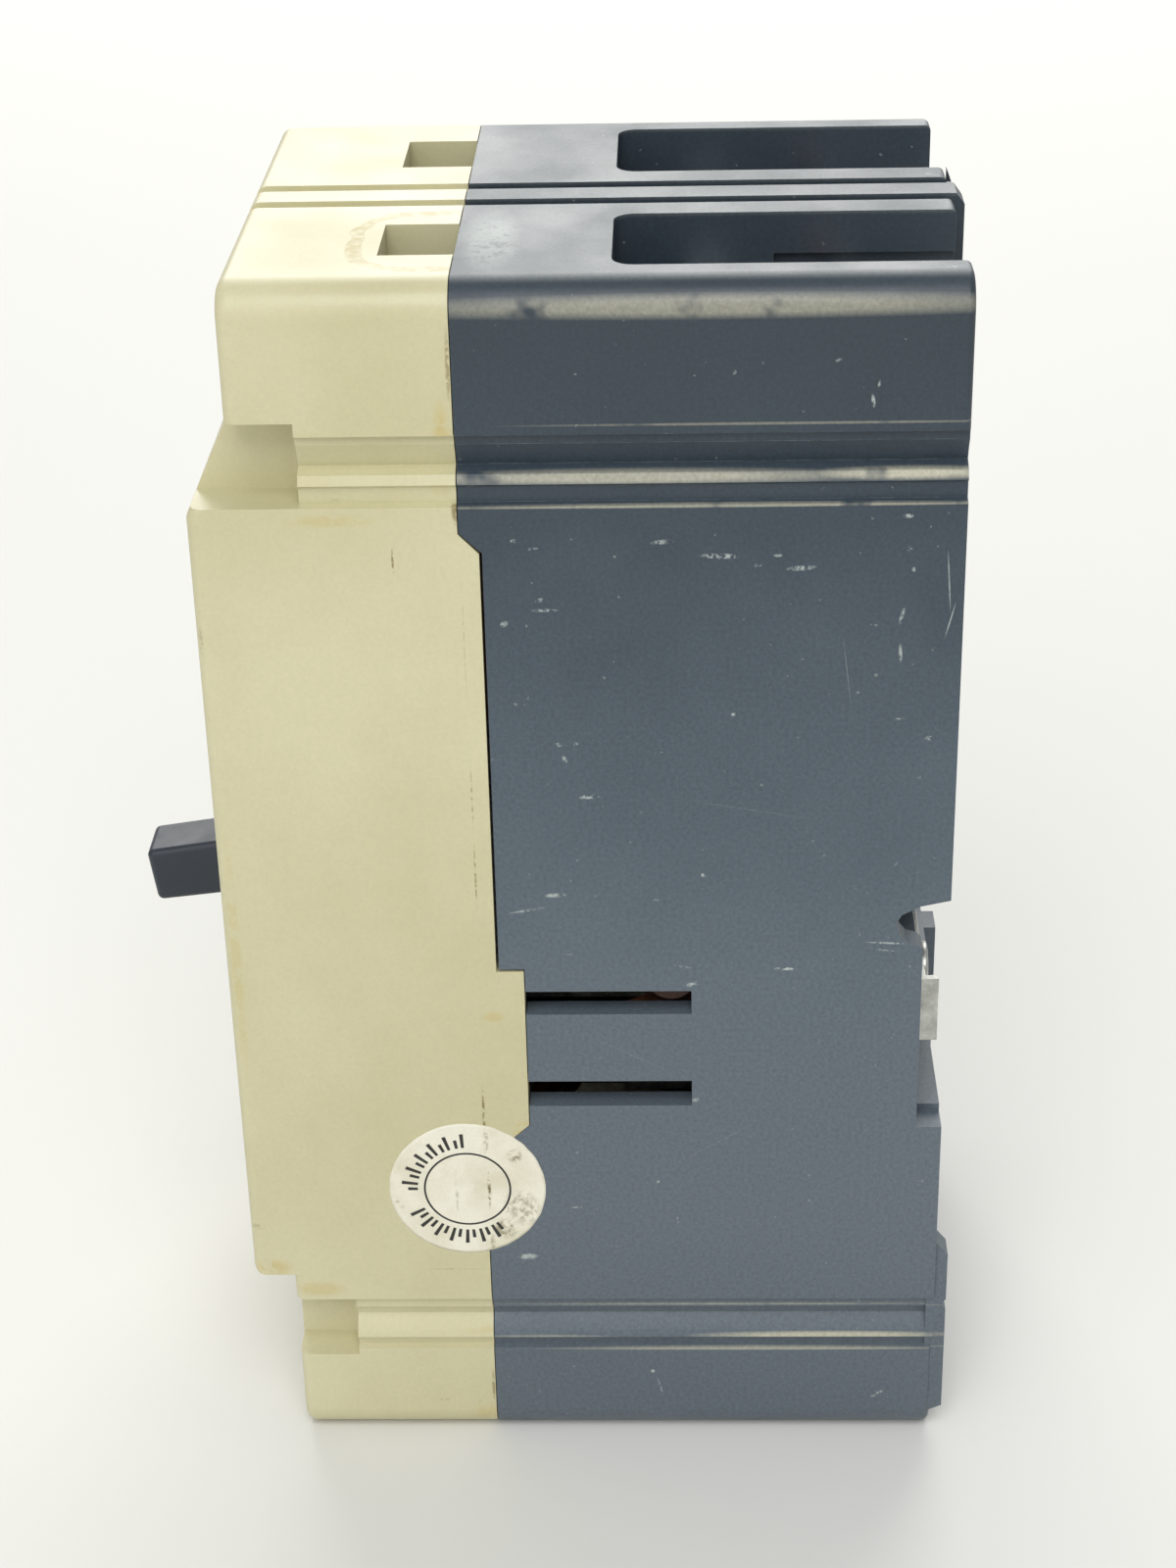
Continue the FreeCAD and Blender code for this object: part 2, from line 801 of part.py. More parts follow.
def contact_pad(d0):
    z0 = contact_z - contact_len / 2
    pad = box(pole_x - contact_w / 2, pole_x + contact_w / 2, d0, d0 + contact_t,
              z0, z0 + contact_len)
    return rounded(pad, 1.2, lambda e: runs_along(e, FRONT))


def make_fixed_contact():
    return contact_pad(strap_d + strap_t)


def opened(shape):
    """From the closed position, where it is drawn, to the rest position."""
    return turned(shape, bar_centre, arm_open)


def make_moving_contact():
    return opened(contact_pad(strap_d + strap_t + contact_t + contact_gap))


def make_moving_arm():
    under = strap_d + strap_t + 2 * contact_t + contact_gap
    tip_z = contact_z + contact_len / 2
    half = arm_h / 2
    points = [(bar_d - half, bar_z - arm_heel + 1.0), (bar_d - half + 1.0, bar_z - arm_heel),
              (bar_d + half - 1.0, bar_z - arm_heel), (bar_d + half, bar_z - arm_heel + 1.0),
              (bar_d + half, bar_z + 9.0), (under + arm_h, contact_z - 7.0),
              (under + 3.2, tip_z), (under, tip_z), (under, contact_z - 6.0),
              (bar_d - half, bar_z + 7.0)]
    body = prism_x(points, pole_x - arm_w / 2, pole_x + arm_w / 2)
    hole = rod_x(bar_d, bar_z, arm_pin_r + pin_clear, 0.0, side_x)
    return opened(body.cut(hole))


def make_crossbar():
    core = rod_x(bar_d, bar_z, bar_r, -bar_half, bar_half)
    journal = rod_x(bar_d, bar_z, bar_journal_r, bar_half - 1.0, bar_half + bar_journal)
    block = rod_x(bar_d, bar_z, bar_block_r, pole_x - bar_block_half, pole_x + bar_block_half)
    slot_half = arm_w / 2 + arm_side_gap
    slot = box(pole_x - slot_half, pole_x + slot_half, bar_d - arm_h / 2 - 0.3, 120.0,
               bar_z - 20.0, bar_z + 20.0)
    low_slot = turned(slot, bar_centre, arm_open)
    spring_room = rod_x(bar_d, bar_z, 3.9, pole_x - 4.2, pole_x + 4.2)
    way_in = box(pole_x - 4.2, pole_x + 4.2, bar_d, 120.0, bar_z - 3.9, bar_z + 3.9)
    pin_hole = rod_x(bar_d, bar_z, arm_pin_r + pin_clear, pole_x - bar_block_half + 0.4,
                     pole_x + bar_block_half - 0.4)
    pin = on_circle(bar_centre, crank_len, crank_rest_deg)
    crank = prism_x(capsule(bar_centre, pin, 3.0), -cradle_t / 2, cradle_t / 2)
    crank_hole = rod_x(pin[0], pin[1], link_pin_r + pin_clear, -9.0, 9.0)
    body = fuse_all([core, crank] + both_sides([journal, block]))
    return cut_all(body, both_sides([low_slot, spring_room, way_in, pin_hole]) + [crank_hole])


def capsule(a, b, half):
    """Outline of a bar from a to b with round ends, as (depth, height) points."""
    angle = math.degrees(math.atan2(b[1] - a[1], b[0] - a[0]))
    points = []
    for centre, start in ((b, -90), (a, 90)):
        for i in range(13):
            points.append(on_circle(centre, half, angle + start + i * 15))
    return points


def make_arm_pins():
    pin = rod_x(bar_d, bar_z, arm_pin_r, pole_x - bar_block_half + 0.5,
                pole_x + bar_block_half - 0.5)
    return Part.makeCompound(both_sides([pin]))


def make_contact_springs():
    coils = []
    for x0 in (pole_x - 3.9, pole_x + arm_w / 2 + 0.5):
        coils.append(coil(pt(x0, bar_d, bar_z), X_AXIS, 2.6, 0.3, 1.3, 1.75))
    return Part.makeCompound(both_sides(coils))


# ---------------------------------------------------------------- toggle linkage

def knee():
    """Where the two links meet at rest, on the load side of their line."""
    low = on_circle(bar_centre, crank_len, crank_rest_deg)
    span = math.hypot(low[0] - link_pivot[0], low[1] - link_pivot[1])
    along = (link_high ** 2 - link_low ** 2 + span ** 2) / (2 * span)
    rise = math.sqrt(link_high ** 2 - along ** 2)
    ux = (low[0] - link_pivot[0]) / span
    uz = (low[1] - link_pivot[1]) / span
    return (link_pivot[0] + along * ux - rise * uz, link_pivot[1] + along * uz + rise * ux)


def link_pair(a, b, hole_a, hole_b, x_in):
    plate = prism_x(capsule(a, b, link_half_h), x_in, x_in + link_t)
    holes = [rod_x(a[0], a[1], hole_a, 0.0, 9.0), rod_x(b[0], b[1], hole_b, 0.0, 9.0)]
    return Part.makeCompound(both_sides([plate.cut(holes)]))


def make_lower_links():
    low = on_circle(bar_centre, crank_len, crank_rest_deg)
    return link_pair(low, knee(), link_pin_r + pin_clear, link_pin_r, low_link_in)


def make_upper_links():
    plain = link_pin_r + pin_clear
    return link_pair(link_pivot, knee(), plain, link_pin_r + link_slack, high_link_in)


def make_toggle_pin():
    k = knee()
    return rod_x(k[0], k[1], link_pin_r, -yoke_in + 0.3, yoke_in - 0.3)


def make_link_pin():
    low = on_circle(bar_centre, crank_len, crank_rest_deg)
    return rod_x(low[0], low[1], link_pin_r, -low_link_in - link_t - 0.2,
                 low_link_in + link_t + 0.2)


def make_cradle():
    top = cradle_pin[1]
    u_d, u_z = link_pivot
    points = [(cradle_pin[0] - 3.5, top + 3.2), (cradle_pin[0] + 3.0, top + 3.2),
              (u_d + 3.4, u_z + 3.4), (u_d + 3.4, frame_low_z + 3.5),
              (u_d - 0.5, frame_low_z + 0.0), (u_d - 4.0, frame_low_z + 0.0),
              (u_d - 4.0, frame_low_z + 2.3), (u_d - 0.5, frame_low_z + 5.2),
              (u_d - 0.5, u_z - 6.0), (u_d - 4.0, u_z - 1.5), (cradle_pin[0] - 3.5, top - 3.3)]
    body = prism_x(points, -cradle_t / 2, cradle_t / 2)
    holes = [rod_x(cradle_pin[0], top, frame_pin_r, -9.0, 9.0),
             rod_x(u_d, u_z, link_pin_r, -9.0, 9.0)]
    return body.cut(holes)


def make_upper_link_pin():
    half = high_link_in + link_t + 0.2
    return rod_x(link_pivot[0], link_pivot[1], link_pin_r, -half, half)


def make_latch_plate():
    return box(-frame_in, frame_in, latch_rear_d, latch_front_d, frame_low_z - latch_t,
               frame_low_z)


def make_frame_plate():
    z0 = frame_low_z
    z1 = frame_high_z
    d0 = frame_foot_d + frame_t
    d1 = frame_front_d
    cut = frame_corner
    points = [(d0, z0), (d1 - cut, z0), (d1, z0 + cut), (d1, z1 - cut), (d1 - cut, z1), (d0, z1)]
    plate = prism_x(points, frame_in, frame_in + frame_t)
    room = bar_r + frame_bar_room
    holes = [rod_x(bar_d, bar_z, room, 0.0, side_x),
             rod_x(pivot_d, pivot_z, yoke_pin_r, 0.0, side_x),
             rod_x(cradle_pin[0], cradle_pin[1], frame_pin_r, 0.0, side_x)]
    for d, z in spacer_pins:
        holes.append(rod_x(d, z, frame_pin_r, 0.0, side_x))
    plate = plate.cut(holes)
    feet = []
    for z in (z0, z1 - frame_foot_h):
        foot = box(frame_in, frame_in + frame_foot_w, frame_foot_d, frame_foot_d + frame_t,
                   z, z + frame_foot_h)
        hole = rod_d(frame_in + frame_foot_w - frame_screw_in, z + frame_foot_h / 2,
                     frame_screw_r, 0.0, seam_depth)
        feet.append(foot.cut(hole))
    return fuse_all([plate] + feet)


def make_frame_screws():
    screws = []
    x = frame_in + frame_foot_w - frame_screw_in
    head_d = frame_foot_d + frame_t
    for z in (frame_low_z, frame_high_z - frame_foot_h):
        zc = z + frame_foot_h / 2
        screw = rod_d(x, zc, frame_screw_r, head_d - frame_screw_len, head_d)
        top = head_d + frame_head_t
        head = rod_d(x, zc, frame_head_r, head_d, top)
        half = frame_slot_w / 2
        slot = box(x - side_x, x + side_x, top - frame_slot_t, top + 1.0, zc - half, zc + half)
        screws.append(screw.fuse(head).cut(slot))
    return Part.makeCompound(both_sides(screws))


def make_frame_pins():
    half = frame_in + frame_t
    pins = [rod_x(cradle_pin[0], cradle_pin[1], frame_pin_r, -half, half)]
    for d, z in spacer_pins:
        pins.append(rod_x(d, z, frame_pin_r, -half, half))
    return Part.makeCompound(pins)


def make_yoke_pivots():
    pin = rod_x(pivot_d, pivot_z, yoke_pin_r, yoke_in, frame_in + frame_t)
    return Part.makeCompound(both_sides([pin]))


# ---------------------------------------------------------------- handle

def tilted(shape):
    """From level, where it is drawn, to the rest position."""
    return turned(shape, (pivot_d, pivot_z), handle_tilt)


def make_handle():
    r0 = shield_r - shield_t / 2
    tip_d = pivot_d + handle_reach
    half = handle_h / 2
    tip_half = handle_tip_h / 2
    stick = prism_x([(pivot_d + r0, pivot_z - half), (tip_d, pivot_z - tip_half),
                     (tip_d, pivot_z + tip_half), (pivot_d + r0, pivot_z + half)],
                    -handle_w / 2, handle_w / 2)

    def outside(edge):
        a, b = ends(edge)
        return max(abs(a.y), abs(b.y)) > rear_proud + tip_d - 0.1

    stick = rounded(stick, handle_edge_r, outside)
    a0 = -shield_half
    outer = [on_circle((pivot_d, pivot_z), shield_r, a0 + i * shield_half / 24)
             for i in range(49)]
    inner = [on_circle((pivot_d, pivot_z), shield_r - shield_t, shield_half - i * shield_half / 24)
             for i in range(49)]
    shield = prism_x(outer + inner, -shield_half_w, shield_half_w)
    root = box(-block_half_w, block_half_w, pivot_d + yoke_reach + yoke_t, pivot_d + r0,
               pivot_z - 6.0, pivot_z + 6.0)
    return tilted(fuse_all([stick, shield, root]))


def make_handle_yoke():
    half = yoke_h / 2
    reach = pivot_d + yoke_reach
    arm = box(yoke_in, yoke_in + yoke_t, pivot_d, reach + yoke_t, pivot_z - half,
              pivot_z + half)
    boss = rod_x(pivot_d, pivot_z, half, yoke_in, yoke_in + yoke_t)
    hole = rod_x(pivot_d, pivot_z, yoke_pin_r + pin_clear, 0.0, side_x)
    arm = arm.fuse(boss).cut(hole)
    bridge = box(-yoke_in, yoke_in, reach, reach + yoke_t, pivot_z - half, pivot_z + half)
    return tilted(fuse_all([bridge] + both_sides([arm])))


def make_toggle_springs():
    k = knee()
    anchor = on_circle((pivot_d, pivot_z), yoke_reach, -handle_tilt)
    dd = k[0] - anchor[0]
    dz = k[1] - anchor[1]
    length = math.hypot(dd, dz)
    share = toggle_spring_start
    start = pt(toggle_spring_x, anchor[0] + dd * share, anchor[1] + dz * share)
    axis = FreeCAD.Vector(0, -dd / length, dz / length)
    body_len = length * (1 - share) - link_pin_r - toggle_spring_end_gap
    spring = coil(start, axis, toggle_spring_r, toggle_spring_wire, body_len, 12)
    return Part.makeCompound(both_sides([spring]))


# ---------------------------------------------------------------- arc chutes

def make_arc_plates():
    plates = []
    for i in range(plate_count):
        d = plate_first_d + i * plate_pitch
        plate = box(pole_x - chute_half_w, pole_x + chute_half_w, d, d + plate_t,
                    chute_low_z + 1.0, chute_high_z - 1.0)
        half = plate_mouth / 2
        mouth = [(pole_x - half - 2.0, 0.0), (pole_x + half + 2.0, 0.0),
                 (pole_x + half, plate_mouth_z - 6.0), (pole_x + half - 1.2, plate_mouth_z),
                 (pole_x - half + 1.2, plate_mouth_z), (pole_x - half, plate_mouth_z - 6.0)]
        plates.append(plate.cut(prism_d(mouth, d - 1.0, d + 2.0)))
    return Part.makeCompound(plates)


def make_arc_chute():
    walls = []
    for x in (pole_x - chute_half_w - chute_wall_t, pole_x + chute_half_w):
        walls.append(box(x, x + chute_wall_t, chute_low_d, chute_high_d, chute_low_z,
                         chute_high_z))
    return Part.makeCompound(walls)


# ---------------------------------------------------------------- trip unit

def make_bimetal():
    half = bimetal_w / 2
    d0 = strap_d + strap_t
    foot = box(pole_x - half, pole_x + half, d0, d0 + bimetal_t, bimetal_foot_z,
               bimetal_z + bimetal_t)
    stem = box(pole_x - half, pole_x + half, d0, bimetal_tip_d, bimetal_z,
               bimetal_z + bimetal_t)
    return fuse_all([foot, stem])


def make_magnet_yoke():
    d0 = strap_d + strap_t + bimetal_t
    x0 = pole_x - yoke_half
    x1 = pole_x + yoke_half
    back = box(x0, x1, d0, yoke_front_d, yoke_back_z, yoke_back_z + yoke_leg_t)
    legs = []
    for x in (x0, x1 - yoke_leg_t):
        legs.append(box(x, x + yoke_leg_t, d0, yoke_front_d, yoke_back_z, yoke_leg_top_z))
        ear_top = armature_pivot[1] + ear_rear
        legs.append(box(x, x + yoke_leg_t, armature_pivot[0] - ear_rear,
                        armature_pivot[0] + ear_front, yoke_leg_top_z - ear_root, ear_top))
    pin = rod_x(armature_pivot[0], armature_pivot[1], armature_pin_r, 0.0, side_x)
    return cut_all(fuse_all([back] + legs), [pin])


def make_armature():
    x0 = pole_x - yoke_half
    x1 = pole_x + yoke_half
    z0 = armature_z
    z1 = armature_z + armature_t
    pd, pz = armature_pivot
    plate = box(x0, x1, pd + armature_neck, armature_front_d, z0, z1)
    nx0 = x0 + yoke_leg_t + armature_neck_gap
    nx1 = x1 - yoke_leg_t - armature_neck_gap
    neck = box(nx0, nx1, pd, pd + armature_neck, z0, z1)
    knuckle = rod_x(pd, pz, knuckle_r, nx0, nx1)
    px0 = prong_x - prong_w / 2
    px1 = prong_x + prong_w / 2
    finger = box(px0, px1, armature_front_d - 1.0, prong_d + prong_t, z0, z1)
    prong = box(px0, px1, prong_d, prong_d + prong_t, prong_low_z, z1)
    hole = rod_x(pd, pz, armature_pin_r + pin_clear, 0.0, side_x)
    return cut_all(fuse_all([plate, neck, knuckle, finger, prong]), [hole])


def make_armature_pins():
    pin = rod_x(armature_pivot[0], armature_pivot[1], armature_pin_r,
                pole_x - yoke_half, pole_x + yoke_half)
    return Part.makeCompound(both_sides([pin]))


def make_trip_bar():
    td, tz = trip_axis
    core = rod_x(td, tz, trip_bar_r, -trip_bar_half, trip_bar_half)
    journal = rod_x(td, tz, trip_journal_r, trip_bar_half - 1.0, cheek_in + cheek_t)
    rear = td - trip_bar_r - arm_reach
    low = tz - arm_low
    high = tz + arm_high
    calib_arm = box(pole_x - calib_arm_half, pole_x + calib_arm_half, rear, td, low, high)
    calib_hole = rod_z(pole_x, rear + calib_in, calib_r, 0.0, height)
    prong_arm = box(prong_x - prong_arm_half, prong_x + prong_arm_half, rear, td, low, high)
    latch_arm = box(-latch_arm_half, latch_arm_half, td - latch_arm_rear, td + latch_arm_front,
                    tz, trip_arm_top_z)
    button_arm = box(button_x - button_arm_half, trip_bar_half - 0.1, td, td + button_arm_t, tz,
                     button_z + button_arm_past)
    body = fuse_all([core, latch_arm, button_arm] + both_sides([journal, calib_arm, prong_arm]))
    return cut_all(body, both_sides([calib_hole]))


def make_calibration_screws():
    td, tz = trip_axis
    d = td - trip_bar_r - arm_reach + calib_in
    screw = rod_z(pole_x, d, calib_r, tz - 2.0, bimetal_z - 0.5)
    return Part.makeCompound(both_sides([screw]))


def make_trip_frame():
    td, tz = trip_axis
    low = cavity_low_z
    out = cheek_in + cheek_t
    top = tz + cheek_top
    joint = seam_depth - trip_frame_gap
    nose_z = cover_low_z + nose_gap
    seat_top = button_z + seat_past_button
    rail = box(-out, out, rail_rear_d, joint, low, low + rail_h)
    cheek = box(cheek_in, out, td - cheek_rear, joint, low, top)
    nose = box(cheek_in, out, td - cheek_rear, td + cheek_front, nose_z, top)
    right = box(cheek_in, out, td, seat_d + seat_t, nose_z, seat_top)
    seat = box(button_x - seat_past_button, out, seat_d, seat_d + seat_t, nose_z, seat_top)
    body = fuse_all([rail, right, seat] + both_sides([cheek, nose]))
    holes = [rod_x(td, tz, trip_journal_r + pin_clear, -side_x, side_x),
             rod_d(button_x, button_z, stem_r + 0.15, 50.0, 80.0)]
    return cut_all(body, holes)


def make_trip_button():
    inner = front_depth - front_wall
    cap = rod_d(button_x, button_z, button_r, inner - 1.0, front_depth - button_recess)
    flange = rod_d(button_x, button_z, flange_r, inner - 0.05 - flange_t, inner - 0.05)
    stem = rod_d(button_x, button_z, stem_r, stem_end_d, inner - 1.0)
    ring = rod_d(button_x, button_z, button_r - 0.9, front_depth - button_recess - 0.5, 120.0)
    return fuse_all([cap, flange, stem]).cut(ring)


def make_button_spring():
    inner = front_depth - front_wall - 0.05 - flange_t
    start = seat_d + seat_t
    wire = 0.35
    length = inner - start - 2 * wire - 0.1
    return coil(pt(button_x, start + wire + 0.05, button_z), FRONT, 2.5, wire, length, 7)


def make_bar_spring():
    td, tz = trip_axis
    return coil(pt(-24.0, td, tz), X_AXIS, trip_bar_r + 0.6, 0.3, 2.8, 4)


def make_braid():
    """Flat copper braid from the bimetal to the heel of the moving arm."""
    line = [(52.5, bimetal_z + bimetal_t + braid_t / 2), (47.0, 46.5), (42.0, 53.5),
            (36.0, 56.6), (bar_d - 4.5, bar_z - arm_heel - 0.35 - braid_t / 2)]
    upper = []
    lower = []
    count = len(line)
    for i in range(count):
        a = line[max(i - 1, 0)]
        b = line[min(i + 1, count - 1)]
        size = math.hypot(b[0] - a[0], b[1] - a[1])
        nd = -(b[1] - a[1]) / size * braid_t / 2
        nz = (b[0] - a[0]) / size * braid_t / 2
        if i == 0:
            nd, nz = 0.0, -braid_t / 2
        if i == count - 1:
            nd, nz = 0.0, -braid_t / 2
        upper.append((line[i][0] + nd, line[i][1] + nz))
        lower.append((line[i][0] - nd, line[i][1] - nz))
    x0 = pole_x - braid_w / 2
    curves = []
    for row in (upper, lower):
        spline = Part.BSplineCurve()
        spline.interpolate([pt(x0, d, z) for d, z in row])
        curves.append(spline.toShape())
    caps = [Part.makeLine(pt(x0, *upper[i]), pt(x0, *lower[i])) for i in (0, -1)]
    wire = Part.Wire(Part.__sortEdges__(curves + caps))
    return Part.Face(wire).extrude(X_AXIS * braid_w)


# ---------------------------------------------------------------- writing

def one_per_pole(name, shape):
    return {name + "_right": shape, name + "_left": mirrored(shape)}


def all_pieces():
    pieces = {
        "base": make_base(),
        "cover": make_cover(),
        "seal_label": make_seal_label(),
        "rating_label": make_rating_label(),
        "cover_screws": make_cover_screws(),
        "rear_clip": make_rear_clip(),
        "clip_rivets": make_clip_rivets(),
        "handle": make_handle(),
        "handle_yoke": make_handle_yoke(),
        "toggle_springs": make_toggle_springs(),
        "crossbar": make_crossbar(),
        "arm_pins": make_arm_pins(),
        "contact_springs": make_contact_springs(),
        "link_pin": make_link_pin(),
        "lower_links": make_lower_links(),
        "toggle_pin": make_toggle_pin(),
        "upper_links": make_upper_links(),
        "upper_link_pin": make_upper_link_pin(),
        "cradle": make_cradle(),
        "latch_plate": make_latch_plate(),
        "frame_plate_right": make_frame_plate(),
        "frame_plate_left": mirrored(make_frame_plate()),
        "frame_pins": make_frame_pins(),
        "frame_screws": make_frame_screws(),
        "yoke_pivots": make_yoke_pivots(),
        "armature_pins": make_armature_pins(),
        "trip_frame": make_trip_frame(),
        "trip_bar": make_trip_bar(),
        "trip_bar_spring": make_bar_spring(),
        "calibration_screws": make_calibration_screws(),
        "trip_button": make_trip_button(),
        "trip_button_spring": make_button_spring(),
    }
    pieces.update(one_per_pole("line_terminal", make_line_terminal()))
    pieces.update(one_per_pole("load_terminal", make_load_terminal()))
    pieces.update(one_per_pole("line_lug", make_lug()))
    pieces.update(one_per_pole("load_lug", end_for_end(make_lug())))
    pieces.update(one_per_pole("fixed_contact", make_fixed_contact()))
    pieces.update(one_per_pole("moving_contact", make_moving_contact()))
    pieces.update(one_per_pole("moving_arm", make_moving_arm()))
    pieces.update(one_per_pole("braid", make_braid()))
    pieces.update(one_per_pole("arc_chute_walls", make_arc_chute()))
    pieces.update(one_per_pole("arc_plates", make_arc_plates()))
    pieces.update(one_per_pole("bimetal", make_bimetal()))
    pieces.update(one_per_pole("magnet_yoke", make_magnet_yoke()))
    pieces.update(one_per_pole("armature", make_armature()))
    screws = both_sides([make_lug_screw(), end_for_end(make_lug_screw())])
    pieces["lug_screws"] = Part.makeCompound(screws)
    return pieces


os.makedirs("parts", exist_ok=True)
to_middle = FreeCAD.Vector(0, 0, -height / 2)
for name, shape in all_pieces().items():
    placed = shape.copy()
    placed.translate(to_middle)
    placed.exportStep("parts/" + name + ".step")
    state = "valid" if placed.isValid() else "NOT VALID"
    print(name, len(placed.Solids), "solids", round(placed.Volume, 1), "mm3", state)
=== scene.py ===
import json
import math

import bmesh
import bpy
from mathutils import Matrix, Vector, noise


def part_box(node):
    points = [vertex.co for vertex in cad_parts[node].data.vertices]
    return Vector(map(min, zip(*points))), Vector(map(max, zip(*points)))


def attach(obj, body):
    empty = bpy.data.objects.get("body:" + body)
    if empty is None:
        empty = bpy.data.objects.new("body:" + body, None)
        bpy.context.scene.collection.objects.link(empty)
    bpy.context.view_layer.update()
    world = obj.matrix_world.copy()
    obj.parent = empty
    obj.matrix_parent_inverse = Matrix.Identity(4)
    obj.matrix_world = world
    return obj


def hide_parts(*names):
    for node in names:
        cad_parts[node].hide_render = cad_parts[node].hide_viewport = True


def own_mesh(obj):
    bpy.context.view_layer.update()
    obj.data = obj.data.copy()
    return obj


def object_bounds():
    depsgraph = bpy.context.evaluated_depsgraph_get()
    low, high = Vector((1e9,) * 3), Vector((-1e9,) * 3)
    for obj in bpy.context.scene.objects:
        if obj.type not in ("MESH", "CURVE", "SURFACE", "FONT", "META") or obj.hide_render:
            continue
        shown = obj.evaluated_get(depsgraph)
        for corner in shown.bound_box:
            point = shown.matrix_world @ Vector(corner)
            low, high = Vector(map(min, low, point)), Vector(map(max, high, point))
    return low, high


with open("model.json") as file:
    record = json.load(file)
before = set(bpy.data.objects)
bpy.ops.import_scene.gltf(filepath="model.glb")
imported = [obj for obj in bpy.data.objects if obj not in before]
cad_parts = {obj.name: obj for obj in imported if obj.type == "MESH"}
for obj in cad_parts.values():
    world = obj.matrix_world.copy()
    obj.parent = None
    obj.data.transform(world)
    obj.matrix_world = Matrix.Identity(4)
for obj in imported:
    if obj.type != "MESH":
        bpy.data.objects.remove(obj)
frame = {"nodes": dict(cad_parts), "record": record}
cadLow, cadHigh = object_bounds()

nodes = frame["nodes"]
mm = 0.001
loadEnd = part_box("base")[0].z  # height 0 of the case, at its load end
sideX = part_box("base")[1].x
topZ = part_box("base")[1].z
print("frame loaded,", len(nodes), "CAD nodes")


def linear(value):  # sRGB hex, or one grey value, to the linear colour that the shaders take
    if not isinstance(value, str):
        return [value, value, value, 1.0]
    parts = [int(value[i:i + 2], 16) / 255 for i in (1, 3, 5)]
    return [c / 12.92 if c <= 0.04045 else ((c + 0.055) / 1.055) ** 2.4 for c in parts] + [1.0]


def addNode(tree, kind, inputs=None, stops=None,
            **settings):  # inputs hold values, or (node, output) to link
    node = tree.nodes.new(kind)
    for key, value in settings.items():
        setattr(node, key, value)
    for key, value in (inputs or {}).items():
        if isinstance(value, tuple) and isinstance(value[0], bpy.types.Node):
            tree.links.new(value[0].outputs[value[1]], node.inputs[key])
        else:
            node.inputs[key].default_value = value
    for i, (place, value) in enumerate(stops or []):
        elements = node.color_ramp.elements
        element = elements[i] if i < 2 else elements.new(place)
        element.position = place
        element.color = linear(value)
    return node


def newMaterial(name, metallic=0.0):
    material = bpy.data.materials.new(name)
    material.use_nodes = True
    tree = material.node_tree
    tree.nodes.clear()
    shader = addNode(tree, "ShaderNodeBsdfPrincipled", {"Metallic": metallic})
    addNode(tree, "ShaderNodeOutputMaterial", {"Surface": (shader, "BSDF")})
    place = addNode(tree, "ShaderNodeTexCoord")
    return material, tree, shader, place


def perMetre(sizeMm):  # texture scale that gives features of this size
    return 1 / (sizeMm * mm)


spotCore = 0.45  # share of a spot that has its full strength


def spotMask(tree, place, spots):  # soft ellipsoids: centre, half sizes, turn and strength
    total = None
    for centre, half, turn, strength in spots:
        local = addNode(tree, "ShaderNodeMapping",
                        {"Vector": (place, "Object"), "Location": centre, "Rotation": turn, "Scale": half},
                        vector_type="TEXTURE")
        reach = addNode(tree, "ShaderNodeVectorMath", {0: (local, "Vector")}, operation="LENGTH")
        spot = addNode(tree, "ShaderNodeMapRange",
                       {"Value": (reach, "Value"), "From Min": 1.0, "From Max": spotCore, "To Min": 0.0,
                        "To Max": strength})
        if total is None:
            total = (spot, "Result")
            continue
        larger = addNode(tree, "ShaderNodeMath", {0: total, 1: (spot, "Result")}, operation="MAXIMUM")
        total = (larger, "Value")
    return total


markDeep = 1.2 * mm  # how far a mark's spot reaches into the surface


def onSide(depth, height, halfLong, halfWide, tilt, strength):  # a mark on the right side, sizes in mm
    centre = (sideX, -depth * mm, loadEnd + height * mm)
    return centre, (markDeep, halfLong * mm, halfWide * mm), (math.radians(tilt), 0, 0), strength


lineDeep = 3.0 * mm
lineTaper = (0.62, 1.6)  # a line's spot is longer and wider than the line, to leave full ends


def alongCase(height, halfWide, nearDepth, farDepth, strength):  # a band along the right side: a painted highlight, partly worn polish
    centre = (sideX, -(nearDepth + farDepth) / 2 * mm, loadEnd + height * mm)
    half = (lineDeep, (farDepth - nearDepth) * lineTaper[0] * mm, halfWide * lineTaper[1] * mm)
    return centre, half, (0, 0, 0), strength


def onTop(x, depth, halfX, halfDepth, tilt, strength):  # a mark on the line end
    centre = (x * mm, -depth * mm, topZ)
    return centre, (halfX * mm, halfDepth * mm, markDeep), (0, 0, math.radians(tilt)), strength


holeSoft = 0.12  # how gently a mark breaks up


def marked(tree, place, under, spots, colour, breakMm, solid):  # a mark layer, broken up by a fine noise
    broken = addNode(tree, "ShaderNodeTexNoise",
                     {"Vector": (place, "Object"), "Scale": perMetre(breakMm), "Detail": 3.0,
                      "Roughness": 0.65})
    holes = addNode(tree, "ShaderNodeValToRGB", {"Fac": (broken, "Fac")},
                    stops=[(solid, 0.0), (solid + holeSoft, 1.0)])
    amount = addNode(tree, "ShaderNodeMath", {0: spotMask(tree, place, spots), 1: (holes, "Color")},
                     operation="MULTIPLY")
    return addNode(tree, "ShaderNodeMixRGB",
                   {"Fac": (amount, "Value"), "Color1": (under, "Color"), "Color2": linear(colour)})


def clouded(tree, place, look, low=0.32, high=0.68, detail=4.0, roughness=0.6):  # slow drift of tone
    clouds = addNode(tree, "ShaderNodeTexNoise",
                     {"Vector": (place, "Object"), "Scale": perMetre(look["cloudMm"]), "Detail": detail,
                      "Roughness": roughness})
    return addNode(tree, "ShaderNodeValToRGB", {"Fac": (clouds, "Fac")},
                   stops=[(low, look["dark"]), (high, look["light"])])


